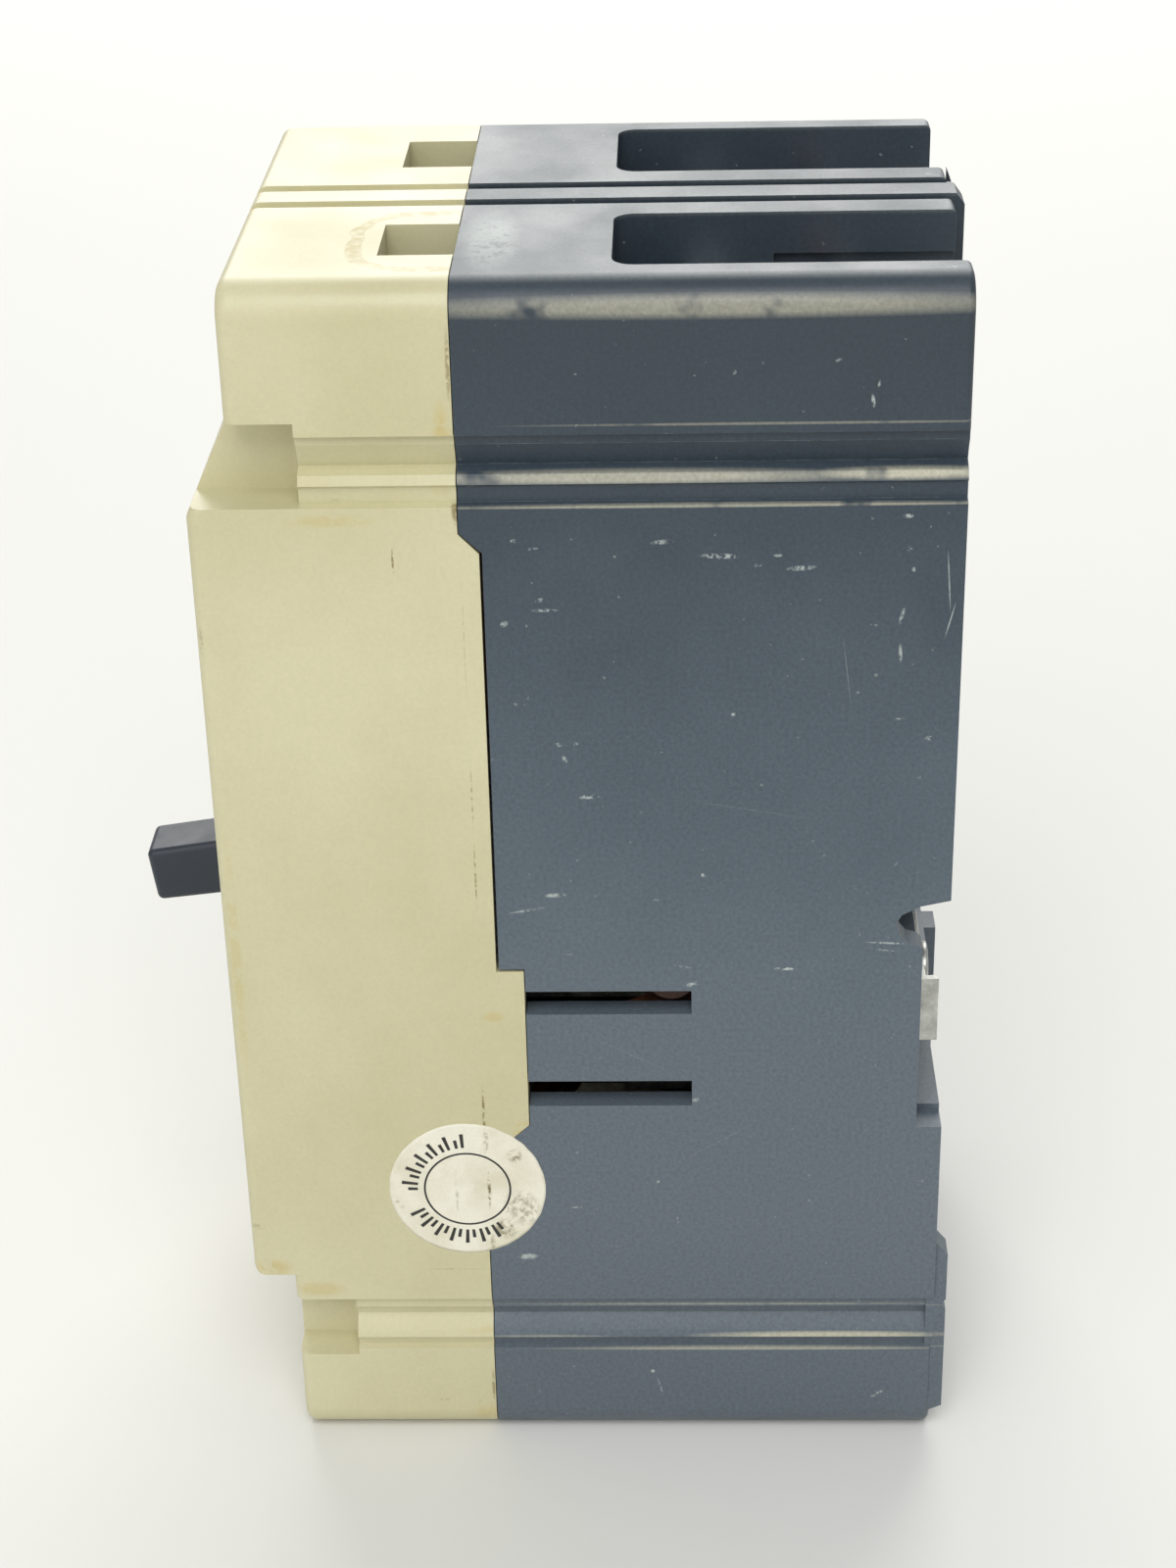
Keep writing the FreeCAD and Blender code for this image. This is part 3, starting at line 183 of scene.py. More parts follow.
moulded = {"bump": 0.4, "glossLess": 0.06,
           "glossMore": 0.08}  # how strong the mould's texture and smears are


def grained(tree, place, under, look):  # the mould's fine texture in colour, gloss and relief
    grain = addNode(tree, "ShaderNodeTexNoise",
                    {"Vector": (place, "Object"), "Scale": perMetre(look["grainMm"]), "Detail": 3.0,
                     "Roughness": 0.7})
    speck = addNode(tree, "ShaderNodeValToRGB", {"Fac": (grain, "Fac")},
                    stops=[(0.32, 1 - look["grainTone"]), (0.68, 1 + look["grainTone"])])
    toned = addNode(tree, "ShaderNodeMixRGB", {"Fac": 1.0, "Color1": (under, "Color"),
                                               "Color2": (speck, "Color")},
                    blend_type="MULTIPLY")
    bump = addNode(tree, "ShaderNodeBump",
                   {"Height": (grain, "Fac"), "Strength": moulded["bump"],
                    "Distance": look["grainDepthMm"] * mm})
    smear = addNode(tree, "ShaderNodeTexNoise",
                    {"Vector": (place, "Object"), "Scale": perMetre(look["smearMm"]), "Detail": 4.0})
    gloss = addNode(tree, "ShaderNodeValToRGB", {"Fac": (smear, "Fac")},
                    stops=[(0.35, look["roughness"] - moulded["glossLess"]),
                           (0.65, look["roughness"] + moulded["glossMore"])])
    return toned, bump, gloss


def finished(tree, shader, toned, bump, gloss):
    tree.links.new(toned.outputs["Color"], shader.inputs["Base Color"])
    tree.links.new(bump.outputs["Normal"], shader.inputs["Normal"])
    tree.links.new(gloss.outputs["Color"], shader.inputs["Roughness"])


def moulding(name, look, rubbed=False):  # plain moulded plastic, with the rubbed colour on eased edges
    material, tree, shader, place = newMaterial(name)
    tone = clouded(tree, place, look)
    if rubbed:
        tone = rubbedOver(tree, place, tone, look)
    finished(tree, shader, *grained(tree, place, tone, look))
    return material


def rubbedOver(tree, place, under, look):  # uneven wear along an edge
    rub = addNode(tree, "ShaderNodeTexNoise",
                  {"Vector": (place, "Object"), "Scale": perMetre(look["rubMm"]), "Detail": 5.0,
                   "Roughness": 0.65})
    amount = addNode(tree, "ShaderNodeValToRGB", {"Fac": (rub, "Fac")},
                     stops=[(0.40, look["rubLeast"]), (0.64, look["rubMost"])])
    return addNode(tree, "ShaderNodeMixRGB",
                   {"Fac": (amount, "Color"), "Color1": (under, "Color"), "Color2": linear(look["rub"])})


# glass-filled polyester, moulded: slate blue-grey, satin, with pale dust specks, pale if scraped; a painted
# floor reflection makes the sides lighter towards the load end, and a painted sheen pales the line end's top
# face
slate = {"floorReflectionHeights": [(0.03, "#58626a"), (0.22, "#5e6870"), (0.45, "#59646d"), (0.62, "#4b5761"),
                     (0.80, "#36424c"), (0.97, "#2f3a43")],
         "grainMm": 0.5, "grainTone": 0.16, "grainDepthMm": 0.02, "smearMm": 14, "roughness": 0.44,
         "rub": "#98a09f", "rubMm": 2.2, "rubLeast": 0.08, "rubMost": 0.7, "scrape": "#b3bcb8",
         "hazeAndSheen": "#8b9390", "line": "#b3b09c", "cloudMm": 30, "driftMm": 8, "speckMm": 1.1,
         "specks": [(0.735, 0.0), (0.77, 0.55)], "topSheen": 0.26, "topSheenMm": 0.5}
# (depth, height, half length, half width, tilt, strength), depth from the mounting plane, in mm
slateScrapes = [
    (29.6, 127.9, 2.5, 0.40, -2, 0.8), (36.2, 129.7, 1.5, 0.35, 5, 0.55), (20.3, 126.3, 1.9, 0.36, 4, 0.85),
    (23.0, 127.9, 0.6, 0.25, 0, 0.6), (25.3, 126.7, 0.5, 0.25, 0, 0.6), (8.3, 132.6, 0.7, 0.30, 0, 0.9),
    (8.0, 128.5, 0.3, 0.40, 0, 0.8), (7.5, 126.0, 0.3, 0.35, 0, 0.7), (8.7, 120.1, 0.25, 1.4, -14, 0.6),
    (8.7, 115.5, 0.25, 1.3, 4, 0.7), (53.2, 130.0, 0.5, 0.3, 0, 0.6), (51.0, 129.0, 0.9, 0.2, 8, 0.4),
    (49.8, 121.3, 1.7, 0.22, 0, 0.7), (50.4, 122.6, 0.6, 0.3, 20, 0.5), (54.6, 119.6, 0.6, 0.4, 30, 0.7),
    (48.7, 103.9, 0.6, 0.3, 0, 0.8), (46.6, 103.9, 0.35, 0.35, 0, 0.8), (48.0, 102.0, 0.3, 0.6, 30, 0.7),
    (45.2, 96.9, 1.5, 0.35, 4, 0.75), (28.0, 107.7, 0.35, 0.3, 0, 0.9), (31.6, 86.1, 0.35, 0.35, 0, 0.9),
    (49.6, 83.4, 1.5, 0.35, 3, 0.8), (53.1, 81.3, 2.6, 0.22, 11, 0.55), (21.5, 72.8, 1.6, 0.24, -2, 1.0),
    (37.4, 82.6, 0.4, 0.25, 0, 0.8), (5.0, 104.4, 0.6, 0.35, 0, 0.9), (8.5, 107.0, 0.6, 0.18, 0, 0.6),
    (11.8, 119.1, 0.8, 0.14, -4, 0.5), (9.2, 76.4, 2.9, 0.16, -3, 0.7), (9.6, 75.4, 2.2, 0.12, -8, 0.5),
    (34.3, 73.2, 1.4, 0.12, -10, 0.4), (48.0, 75.0, 1.2, 0.10, -4, 0.3), (48.0, 37.0, 0.9, 0.16, 2, 0.6),
    (54.6, 29.2, 1.5, 0.55, 3, 0.8), (43.0, 31.0, 0.12, 0.8, 0, 0.5), (38.5, 10.3, 0.35, 0.35, 0, 0.9),
    (37.5, 7.7, 0.14, 2.1, 14, 0.4), (35.0, 35.0, 0.12, 0.7, 4, 0.5), (37.5, 41.0, 0.25, 0.25, 0, 0.7),
    (8.6, 6.5, 1.2, 0.26, 32, 0.8), (12.6, 146.4, 0.25, 0.9, 8, 0.8), (12.0, 148.4, 0.2, 0.5, -10, 0.6),
    (16.5, 151.2, 0.5, 0.2, 20, 0.5), (33.2, 70.6, 0.9, 0.35, 0, 0.8), (33.0, 53.6, 0.9, 0.45, 0, 0.8),
]
slateHairs = [
    (3.4, 124.5, 0.10, 4.2, 4, 0.7), (3.1, 119.6, 0.10, 2.6, -14, 0.7), (14.8, 113.0, 0.06, 5.0, 7, 0.25),
    (41.0, 60.5, 0.06, 6.0, 62, 0.2), (26.0, 95.0, 0.06, 9.0, 80, 0.16), (30.0, 47.0, 0.05, 7.0, -58, 0.2),
]
# on the line end: (across, depth, half across, half depth, turn, strength)
slateTopScrapes = [
    (-23.5, 5.2, 0.25, 1.8, 24, 0.9), (-24.6, 4.4, 0.22, 2.0, 24, 0.9), (-22.4, 4.2, 0.2, 1.6, 20, 0.8),
    (-26.2, 3.9, 0.2, 1.2, 30, 0.7), (30.5, 3.6, 0.2, 1.4, 12, 0.6),
]
slateTopWorn = [(18.0, 55.6, 13.5, 3.6, 0, 0.62), (22.0, 54.4, 4.0, 2.4, 20, 0.5)]
# bands along the case on sills and edges, painted highlights that are partly worn polish: (height, half
# width, first depth, last depth, strength)
slateHighlightLines = [
    (137.4, 0.62, 14.0, 66.0, 0.75), (137.5, 0.50, -4.0, 20.0, 1.0), (134.1, 0.17, -6.0, 64.0, 0.65),
    (143.9, 0.13, -6.0, 50.0, 0.35), (16.1, 0.42, 0.0, 31.0, 0.95), (15.8, 0.3, 44.0, 62.0, 0.45),
    (14.1, 0.17, 0.0, 50.0, 0.75), (20.9, 0.16, 0.0, 58.0, 0.45), (157.5, 0.95, -6.0, 66.0, 0.55),
]


def slateMaterial(name, rubbed):
    material, tree, shader, place = newMaterial(name)
    split = addNode(tree, "ShaderNodeSeparateXYZ", {"Vector": (place, "Object")})
    clouds = addNode(tree, "ShaderNodeTexNoise",
                     {"Vector": (place, "Object"), "Scale": perMetre(slate["cloudMm"]), "Detail": 5.0,
                      "Roughness": 0.6})
    drift = addNode(tree, "ShaderNodeMapRange",
                    {"Value": (clouds, "Fac"), "From Min": 0.3, "From Max": 0.7,
                     "To Min": -slate["driftMm"] * mm,
                     "To Max": slate["driftMm"] * mm})
    moved = addNode(tree, "ShaderNodeMath", {0: (split, "Z"), 1: (drift, "Result")}, operation="ADD")
    # painted floor reflection: by height, the sides run lighter towards the load end and darker towards the
    # line end
    level = addNode(tree, "ShaderNodeMapRange", {"Value": (moved, "Value"), "From Min": loadEnd,
                                                 "From Max": topZ})
    tone = addNode(tree, "ShaderNodeValToRGB", {"Fac": (level, "Result")}, stops=slate["floorReflectionHeights"])
    # painted sheen: the top face at the line end is mixed towards the pale grey, standing in for the
    # overhead light's reflection
    topSheenBand = addNode(tree, "ShaderNodeMapRange",
                     {"Value": (split, "Z"), "From Min": topZ - slate["topSheenMm"] * mm, "From Max": topZ,
                      "To Max": slate["topSheen"]})
    tone = addNode(tree, "ShaderNodeMixRGB",
                   {"Fac": (topSheenBand, "Result"), "Color1": (tone, "Color"), "Color2": linear(slate["hazeAndSheen"])})
    if rubbed:
        tone = rubbedOver(tree, place, tone, slate)
    else:
        tone = marked(tree, place, tone, [onTop(*s) for s in slateTopWorn], slate["hazeAndSheen"], 1.5, 0.36)
        scrapes = [onSide(*s) for s in slateScrapes] + [onTop(*s) for s in slateTopScrapes]
        tone = marked(tree, place, tone, scrapes, slate["scrape"], 0.55, 0.42)
        tone = marked(tree, place, tone, [onSide(*s) for s in slateHairs], slate["scrape"], 1.2, 0.30)
        # painted highlights on the sills and the top edge, partly worn polish
        tone = marked(tree, place, tone, [alongCase(*s) for s in slateHighlightLines], slate["line"], 9.0, 0.30)
        specks = addNode(tree, "ShaderNodeTexNoise",
                         {"Vector": (place, "Object"), "Scale": perMetre(slate["speckMm"]), "Detail": 2.0,
                          "Roughness": 0.5})
        few = addNode(tree, "ShaderNodeValToRGB", {"Fac": (specks, "Fac")}, stops=slate["specks"])
        tone = addNode(tree, "ShaderNodeMixRGB",
                       {"Fac": (few, "Color"), "Color1": (tone, "Color"), "Color2": linear(slate["hazeAndSheen"])})
    finished(tree, shader, *grained(tree, place, tone, slate))
    return material


# melamine, moulded: aged ivory, satin, yellower in the corners and browned along the joint by handling
ivory = {"dark": "#c4be97", "light": "#cfc9a5", "cloudMm": 40, "grainMm": 0.55, "grainTone": 0.03,
         "grainDepthMm": 0.008, "smearMm": 18, "roughness": 0.40, "rub": "#9c8c58", "rubMm": 2.6,
         "rubLeast": 0.0,
         "rubMost": 0.55, "dirt": "#7a6636", "stain": "#bfa962"}
ivoryDirt = [
    (59.5, 51.5, 0.22, 5.0, 0, 0.9), (59.5, 44.8, 0.18, 2.4, 0, 0.7), (59.2, 97.0, 0.16, 5.0, 0, 0.5),
    (59.2, 86.0, 0.14, 5.5, 0, 0.7), (59.3, 118.0, 0.12, 9.0, 0, 0.25), (73.3, 134.9, 1.1, 0.22, 0, 0.85),
    (67.1, 127.6, 0.18, 1.9, 0, 0.75), (59.8, 140.5, 0.4, 3.5, 0, 0.8), (59.8, 151.0, 0.3, 5.0, 0, 0.6),
    (59.7, 134.0, 0.5, 2.2, 0, 0.8), (66.4, 5.6, 0.9, 0.3, -6, 0.35), (62.2, 5.2, 0.7, 0.4, 0, 0.3),
    (64.3, 27.2, 4.8, 0.12, 0, 0.35), (59.9, 20.6, 0.7, 0.16, 0, 0.6), (59.8, 8.0, 0.25, 3.0, 0, 0.7),
    (90.0, 117.5, 0.35, 2.4, 0, 0.35), (89.6, 34.0, 1.2, 0.6, 0, 0.3),
]
ivoryStains = [
    (54.6, 49.3, 1.6, 1.1, 30, 0.7), (60.8, 142.0, 1.2, 5.5, 0, 0.55), (61.3, 135.8, 2.6, 1.3, 0, 0.6),
    (76.8, 139.0, 5.5, 4.8, 0, 0.28), (82.0, 24.0, 4.0, 1.4, 0, 0.4), (88.0, 27.5, 3.0, 1.6, 0, 0.5),
    (84.6, 140.0, 1.4, 5.0, 0, 0.5), (61.0, 17.0, 3.0, 1.0, 0, 0.35), (89.2, 75.0, 0.9, 20.0, 0, 0.3),
    (60.5, 3.0, 3.0, 2.5, 0, 0.35), (74.0, 132.6, 6.0, 0.9, 0, 0.35), (57.8, 66.0, 1.8, 0.9, 0, 0.4),
]
# dried glue left round the near vent: a rounded arch, open at the joint
glue = {"x": 18.5, "depth": 58.0, "halfX": 10.6, "reach": 13.0, "corner": 7.0, "band": 0.9, "waveMm": 3.5,
        "wander": 1.6, "patchMm": 1.6, "patches": [(0.36, 0.1), (0.6, 0.75)], "colour": "#a8954e"}


def glueMask(tree, place):
    local = addNode(tree, "ShaderNodeVectorMath",
                    {0: (place, "Object"), 1: (-glue["x"] * mm, glue["depth"] * mm, -topZ)}, operation="ADD")
    wave = addNode(tree, "ShaderNodeTexNoise",
                   {"Vector": (place, "Object"), "Scale": perMetre(glue["waveMm"]), "Detail": 3.0})
    apart = addNode(tree, "ShaderNodeVectorMath", {0: (local, "Vector")}, operation="ABSOLUTE")
    core = ((glue["halfX"] - glue["corner"]) * mm, (glue["reach"] - glue["corner"]) * mm, 1.0)
    over = addNode(tree, "ShaderNodeVectorMath", {0: (apart, "Vector"), 1: core}, operation="SUBTRACT")
    outside = addNode(tree, "ShaderNodeVectorMath", {0: (over, "Vector"), 1: (0, 0, 0)}, operation="MAXIMUM")
    reach = addNode(tree, "ShaderNodeVectorMath", {0: (outside, "Vector")}, operation="LENGTH")
    shaken = addNode(tree, "ShaderNodeMath", {0: (wave, "Fac"), 1: glue["wander"] * mm, 2: (reach, "Value")},
                     operation="MULTIPLY_ADD")
    middle = glue["corner"] + glue["wander"] / 2
    ring = addNode(tree, "ShaderNodeMath", {0: (shaken, "Value"), 1: middle * mm, 2: glue["band"] * mm},
                   operation="COMPARE")
    split = addNode(tree, "ShaderNodeSeparateXYZ", {"Vector": (place, "Object")})
    high = addNode(tree, "ShaderNodeMapRange",
                   {"Value": (split, "Z"), "From Min": topZ - 1.0 * mm, "From Max": topZ - 0.6 * mm})
    return addNode(tree, "ShaderNodeMath", {0: (ring, "Value"), 1: (high, "Result")}, operation="MULTIPLY")


def ivoryMaterial(name, rubbed):
    material, tree, shader, place = newMaterial(name)
    tone = clouded(tree, place, ivory, 0.34, 0.62, roughness=0.55)
    tone = marked(tree, place, tone, [onSide(*s) for s in ivoryStains], ivory["stain"], 2.5, 0.38)
    tone = marked(tree, place, tone, [onSide(*s) for s in ivoryDirt], ivory["dirt"], 0.8, 0.42)
    if rubbed:
        tone = rubbedOver(tree, place, tone, ivory)
    else:
        ring = glueMask(tree, place)
        patchy = addNode(tree, "ShaderNodeTexNoise",
                         {"Vector": (place, "Object"), "Scale": perMetre(glue["patchMm"]), "Detail": 3.0})
        thin = addNode(tree, "ShaderNodeValToRGB", {"Fac": (patchy, "Fac")}, stops=glue["patches"])
        amount = addNode(tree, "ShaderNodeMath", {0: (ring, "Value"), 1: (thin, "Color")},
                         operation="MULTIPLY")
        tone = addNode(tree, "ShaderNodeMixRGB",
                       {"Fac": (amount, "Value"), "Color1": (tone, "Color"),
                        "Color2": linear(glue["colour"])})
    finished(tree, shader, *grained(tree, place, tone, ivory))
    return material


# glass-filled nylon, moulded: blue-black, satin, a little polished by fingers
nylonBlack = {"dark": "#232a34", "light": "#2c343f", "cloudMm": 12, "grainMm": 0.4, "grainTone": 0.12,
              "grainDepthMm": 0.015, "smearMm": 6, "roughness": 0.42, "rub": "#71767b", "rubMm": 1.5,
              "rubLeast": 0.05, "rubMost": 0.55}
# phenolic, moulded: deep brown, matt, with pale filler specks
phenolicBrown = {"dark": "#382317", "light": "#4a2f20", "cloudMm": 9, "grainMm": 0.5, "grainTone": 0.22,
                 "grainDepthMm": 0.02, "smearMm": 7, "roughness": 0.55, "rub": "#8a6e58", "rubMm": 1.5,
                 "rubLeast": 0.0, "rubMost": 0.5}
# nylon, moulded: signal red, satin
nylonRed = {"dark": "#9d1f19", "light": "#b02a20", "cloudMm": 3, "grainMm": 0.3, "grainTone": 0.08,
            "grainDepthMm": 0.01, "smearMm": 2, "roughness": 0.38, "rub": "#c98a80", "rubMm": 1.0,
            "rubLeast": 0.05,
            "rubMost": 0.5}
# vulcanised fibre sheet, cut: brick red, matt, a felted look
fibreRed = {"dark": "#7e3a2c", "light": "#964a38", "cloudMm": 6, "grainMm": 0.25, "grainTone": 0.2,
            "grainDepthMm": 0.02, "smearMm": 4, "roughness": 0.75, "rub": "#b98570", "rubMm": 1.2,
            "rubLeast": 0.0,
            "rubMost": 0.4}
# self-adhesive paper, printed: off-white, matt, yellowed and thumbed
paper = {"dark": "#d9d3ba", "light": "#eae6d4", "cloudMm": 6, "grainMm": 0.3, "grainTone": 0.04,
         "grainDepthMm": 0.006, "smearMm": 3, "roughness": 0.55, "rub": "#8b8266", "rubMm": 1.2,
         "rubLeast": 0.1,
         "rubMost": 0.7}
# polyester film, printed: silver-grey, glossy, ruled like a form with nothing filled in
film = {"dark": "#b4b7b6", "light": "#bfc2c1", "ink": "#26282a", "cellMm": (18, 5), "lineMm": 0.14,
        "grainMm": 0.3,
        "grainTone": 0.03, "grainDepthMm": 0.003, "smearMm": 6, "roughness": 0.28}


def filmMaterial(name):
    material, tree, shader, place = newMaterial(name)
    flat = addNode(tree, "ShaderNodeMapping", {"Vector": (place, "Object"),
                                               "Rotation": (math.radians(-90), 0, 0)})
    ruled = addNode(tree, "ShaderNodeTexBrick",
                    {"Vector": (flat, "Vector"), "Color1": linear(film["light"]),
                     "Color2": linear(film["dark"]),
                     "Mortar": linear(film["ink"]), "Scale": 1.0, "Mortar Size": film["lineMm"] * mm,
                     "Brick Width": film["cellMm"][0] * mm, "Row Height": film["cellMm"][1] * mm},
                    offset=0.0)
    finished(tree, shader, *grained(tree, place, ruled, film))
    return material


worked = {"lineDark": 0.85, "lineLight": 1.08, "glossLess": 0.07, "glossMore": 0.1, "bump": 0.3,
          "depthMm": 0.01}


def metal(name, look):  # bare or plated metal: blotches of tone, and a grain drawn out as it was worked
    material, tree, shader, place = newMaterial(name, 1.0)
    drawn = addNode(tree, "ShaderNodeMapping", {"Vector": (place, "Object"), "Scale": look["stretch"]})
    grain = addNode(tree, "ShaderNodeTexNoise",
                    {"Vector": (drawn, "Vector"), "Scale": perMetre(look["grainMm"]), "Detail": 4.0,
                     "Roughness": 0.6})
    blotch = addNode(tree, "ShaderNodeTexNoise",
                     {"Vector": (place, "Object"), "Scale": perMetre(look["blotchMm"]), "Detail": 4.0})
    tone = addNode(tree, "ShaderNodeValToRGB", {"Fac": (blotch, "Fac")},
                   stops=[(0.36, look["dark"]), (0.64, look["light"])])
    lines = addNode(tree, "ShaderNodeValToRGB", {"Fac": (grain, "Fac")},
                    stops=[(0.35, worked["lineDark"]), (0.65, worked["lineLight"])])
    toned = addNode(tree, "ShaderNodeMixRGB", {"Fac": 1.0, "Color1": (tone, "Color"),
                                               "Color2": (lines, "Color")},
                    blend_type="MULTIPLY")
    gloss = addNode(tree, "ShaderNodeValToRGB", {"Fac": (grain, "Fac")},
                    stops=[(0.35, look["roughness"] - worked["glossLess"]),
                           (0.65, look["roughness"] + worked["glossMore"])])
    bump = addNode(tree, "ShaderNodeBump",
                   {"Height": (grain, "Fac"), "Strength": worked["bump"],
                    "Distance": worked["depthMm"] * mm})
    finished(tree, shader, toned, bump, gloss)
    return material


# zinc-plated steel, stamped: pale grey with a faint warm bloom
zincSteel = {"dark": "#a9a9a2", "light": "#cfd0ca", "blotchMm": 3, "grainMm": 0.4, "stretch": (1, 1, 1),
             "roughness": 0.36}
# music wire, drawn: bright, with lines along it
springSteel = {"dark": "#8d9092", "light": "#b4b6b6", "blotchMm": 2, "grainMm": 0.3, "stretch": (1, 1, 1),
               "roughness": 0.26}
# steel, rolled and phosphated: dark grey, soft sheen
screwSteel = {"dark": "#3d3d40", "light": "#54545a", "blotchMm": 1.5, "grainMm": 0.25, "stretch": (1, 1, 1),
              "roughness": 0.45}
# aluminium, extruded and tinned: matt silver, with lines along the extrusion
lugAluminium = {"dark": "#b9bbbb", "light": "#d7d9d9", "blotchMm": 4, "grainMm": 0.35,
                "stretch": (1, 1, 0.06),
                "roughness": 0.4}
# copper strip, rolled: salmon, dulled brown in patches
copperStrip = {"dark": "#9c5f45", "light": "#cf8a68", "blotchMm": 4, "grainMm": 0.4, "stretch": (1, 1, 0.1),
               "roughness": 0.38}
# silver alloy, sintered: pale and dull, slightly sooted
silverAlloy = {"dark": "#8b8a86", "light": "#cfcdc8", "blotchMm": 1.2, "grainMm": 0.2, "stretch": (1, 1, 1),
               "roughness": 0.45}
# bimetal strip, clad and rolled: grey with a straw tint
bimetalStrip = {"dark": "#857f6e", "light": "#aba58f", "blotchMm": 3, "grainMm": 0.3, "stretch": (1, 0.1, 1),
                "roughness": 0.4}

plain = {"slate_moulding": slateMaterial("mouldedPolyesterSlate", False),
         "ivory_moulding": ivoryMaterial("mouldedMelamineIvory", False),
         "black_moulding": moulding("mouldedNylonBlack", nylonBlack),
         "brown_moulding": moulding("mouldedPhenolicBrown", phenolicBrown),
         "red_moulding": moulding("mouldedNylonRed", nylonRed),
         "fibre_sheet": moulding("cutFibreRed", fibreRed),
         "paper_label": moulding("printedPaper", paper),
         "film_label": filmMaterial("printedPolyesterFilm"),
         "zinc_steel": metal("stampedZincSteel", zincSteel),
         "spring_steel": metal("drawnSpringSteel", springSteel),
         "screw_steel": metal("rolledScrewSteel", screwSteel),
         "lug_aluminium": metal("extrudedAluminium", lugAluminium),
         "copper": metal("rolledCopper", copperStrip),
         "silver_contact": metal("sinteredSilver", silverAlloy),
         "bimetal_strip": metal("rolledBimetal", bimetalStrip)}
rubbed = {"slate_moulding": slateMaterial("mouldedPolyesterSlateRubbed", True),
          "ivory_moulding": ivoryMaterial("mouldedMelamineIvoryRubbed", True),
          "black_moulding": moulding("mouldedNylonBlackRubbed", nylonBlack, True),
          "red_moulding": moulding("mouldedNylonRedRubbed", nylonRed, True)}
slotOf = {part["node"]: part["material_slot"] for part in frame["record"]["subparts"]}
for name, node in nodes.items():
    for place in node.material_slots:
        place.material = plain[slotOf[name]]
    if not node.material_slots:
        node.data.materials.append(plain[slotOf[name]])
print("materials made and put on the CAD nodes")


def applied(piece):  # the modifiers' result becomes the mesh
    done = bpy.data.meshes.new_from_object(piece.evaluated_get(bpy.context.evaluated_depsgraph_get()))
    piece.modifiers.clear()
    piece.data = done
    return piece


def newPiece(name, mesh):
    piece = bpy.data.objects.new(name, mesh)
    bpy.context.scene.collection.objects.link(piece)
    return piece


def settle(piece, body, slotName, *replaced):
    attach(piece, body)
    if replaced:
        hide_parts(*replaced)
    return piece


easing = {"weldMm": 0.004, "flatDeg": 0.6, "sharpDeg": 28, "segments": 2, "faceWeight": 80}


def eased(nodeName, body, edgeMm):  # the CAD solid with its sharp edges eased, and rubbed where they are
    mesh = nodes[nodeName].data.copy()
    form = bmesh.new()
    form.from_mesh(mesh)
    bmesh.ops.remove_doubles(form, verts=form.verts, dist=easing["weldMm"] * mm)
    bmesh.ops.dissolve_limit(form, angle_limit=math.radians(easing["flatDeg"]), verts=form.verts,
                             edges=form.edges)
    form.to_mesh(mesh)
    form.free()
    slotName = slotOf[nodeName]
    mesh.materials.clear()
    mesh.materials.append(plain[slotName])
    mesh.materials.append(rubbed.get(slotName, plain[slotName]))
    piece = newPiece(nodeName + "Shell", mesh)
    bevel = piece.modifiers.new("ease", "BEVEL")
    bevel.width = edgeMm * mm
    bevel.segments = easing["segments"]
    bevel.limit_method = "ANGLE"
    bevel.angle_limit = math.radians(easing["sharpDeg"])
    bevel.material = 1
    for face in mesh.polygons:
        face.use_smooth = True
    weighted = piece.modifiers.new("even", "WEIGHTED_NORMAL")
    weighted.weight = easing["faceWeight"]
    weighted.keep_sharp = True
    return settle(applied(piece), body, slotName, nodeName)


easedNodes = {"base": ("housing", 0.28), "cover": ("housing", 0.26), "handle": ("handle", 0.35),
              "rear_clip": ("housing", 0.12), "clip_rivets": ("housing", 0.25),
              "cover_screws": ("housing", 0.15),
              "line_lug_left": ("housing", 0.3), "line_lug_right": ("housing", 0.3),
              "load_lug_left": ("housing", 0.3), "load_lug_right": ("housing", 0.3),
              "lug_screws": ("housing", 0.2), "rating_label": ("housing", 0.03),
              "trip_button": ("trip_button", 0.2)}
for nodeName, (body, edgeMm) in easedNodes.items():
    eased(nodeName, body, edgeMm)
print("case, handle and outer metal parts eased")

# spring behind the trip button; the real one shortens as the button goes in, this copy keeps its CAD length
buttonCoil = newPiece("buttonCoil", nodes["trip_button_spring"].data.copy())
settle(buttonCoil, "housing", "spring_steel", "trip_button_spring")
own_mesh(buttonCoil)
print("button spring made")


def smudged(name, look, spots, colour):  # paper with dirt rubbed into it
    material, tree, shader, place = newMaterial(name)
    tone = clouded(tree, place, look, high=0.6, detail=5.0)
    tone = marked(tree, place, tone, spots, colour, 0.9, 0.44)
    finished(tree, shader, *grained(tree, place, tone, look))
    return material


# round paper seal across the joint, with a ring and two arcs of plain ticks
seal = {"thick": 0.09, "rings": 26, "steps": 120, "ripple": 0.02, "rippleMm": 2.4, "edgeRagged": 0.08,
        "edgeTurns": 9, "crease": 0.05, "creaseWide": 0.22, "ringRadius": 5.5, "ringWide": 0.26,
        "inkThick": 0.018, "tickIn": 6.4, "tickOut": 8.5, "tickWide": 0.5, "tickRows": 4,
        "ticks": ((-0.06, 1.0), (0.06, 0.6)),
        "ink": "#23211f"}  # ticks: turn from the group's middle, length
sealArcs = [(176, 97, 6), (212, 301, 7)]  # start and end angle, groups of ticks
sealLow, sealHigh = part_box("seal_label")
sealCentre = (sealLow + sealHigh) / 2
sealRadius = (sealHigh.y - sealLow.y) / 2
jointY = -59.4 * mm


def sealLift(u, v):  # height of the paper above the case at (u, v) from the seal's middle
    fold = math.exp(-(((sealCentre.y + u - jointY) / (seal["creaseWide"] * mm)) ** 2))
    ripple = noise.noise(Vector((u, v, 0)) * perMetre(seal["rippleMm"]))
    return (seal["thick"] - seal["crease"] * fold - seal["ripple"] * (0.5 + 0.5 * ripple)) * mm


def onSeal(u, v, lift=0.0):
    return Vector((sealLow.x + sealLift(u, v) + lift * mm, sealCentre.y + u, sealCentre.z + v))


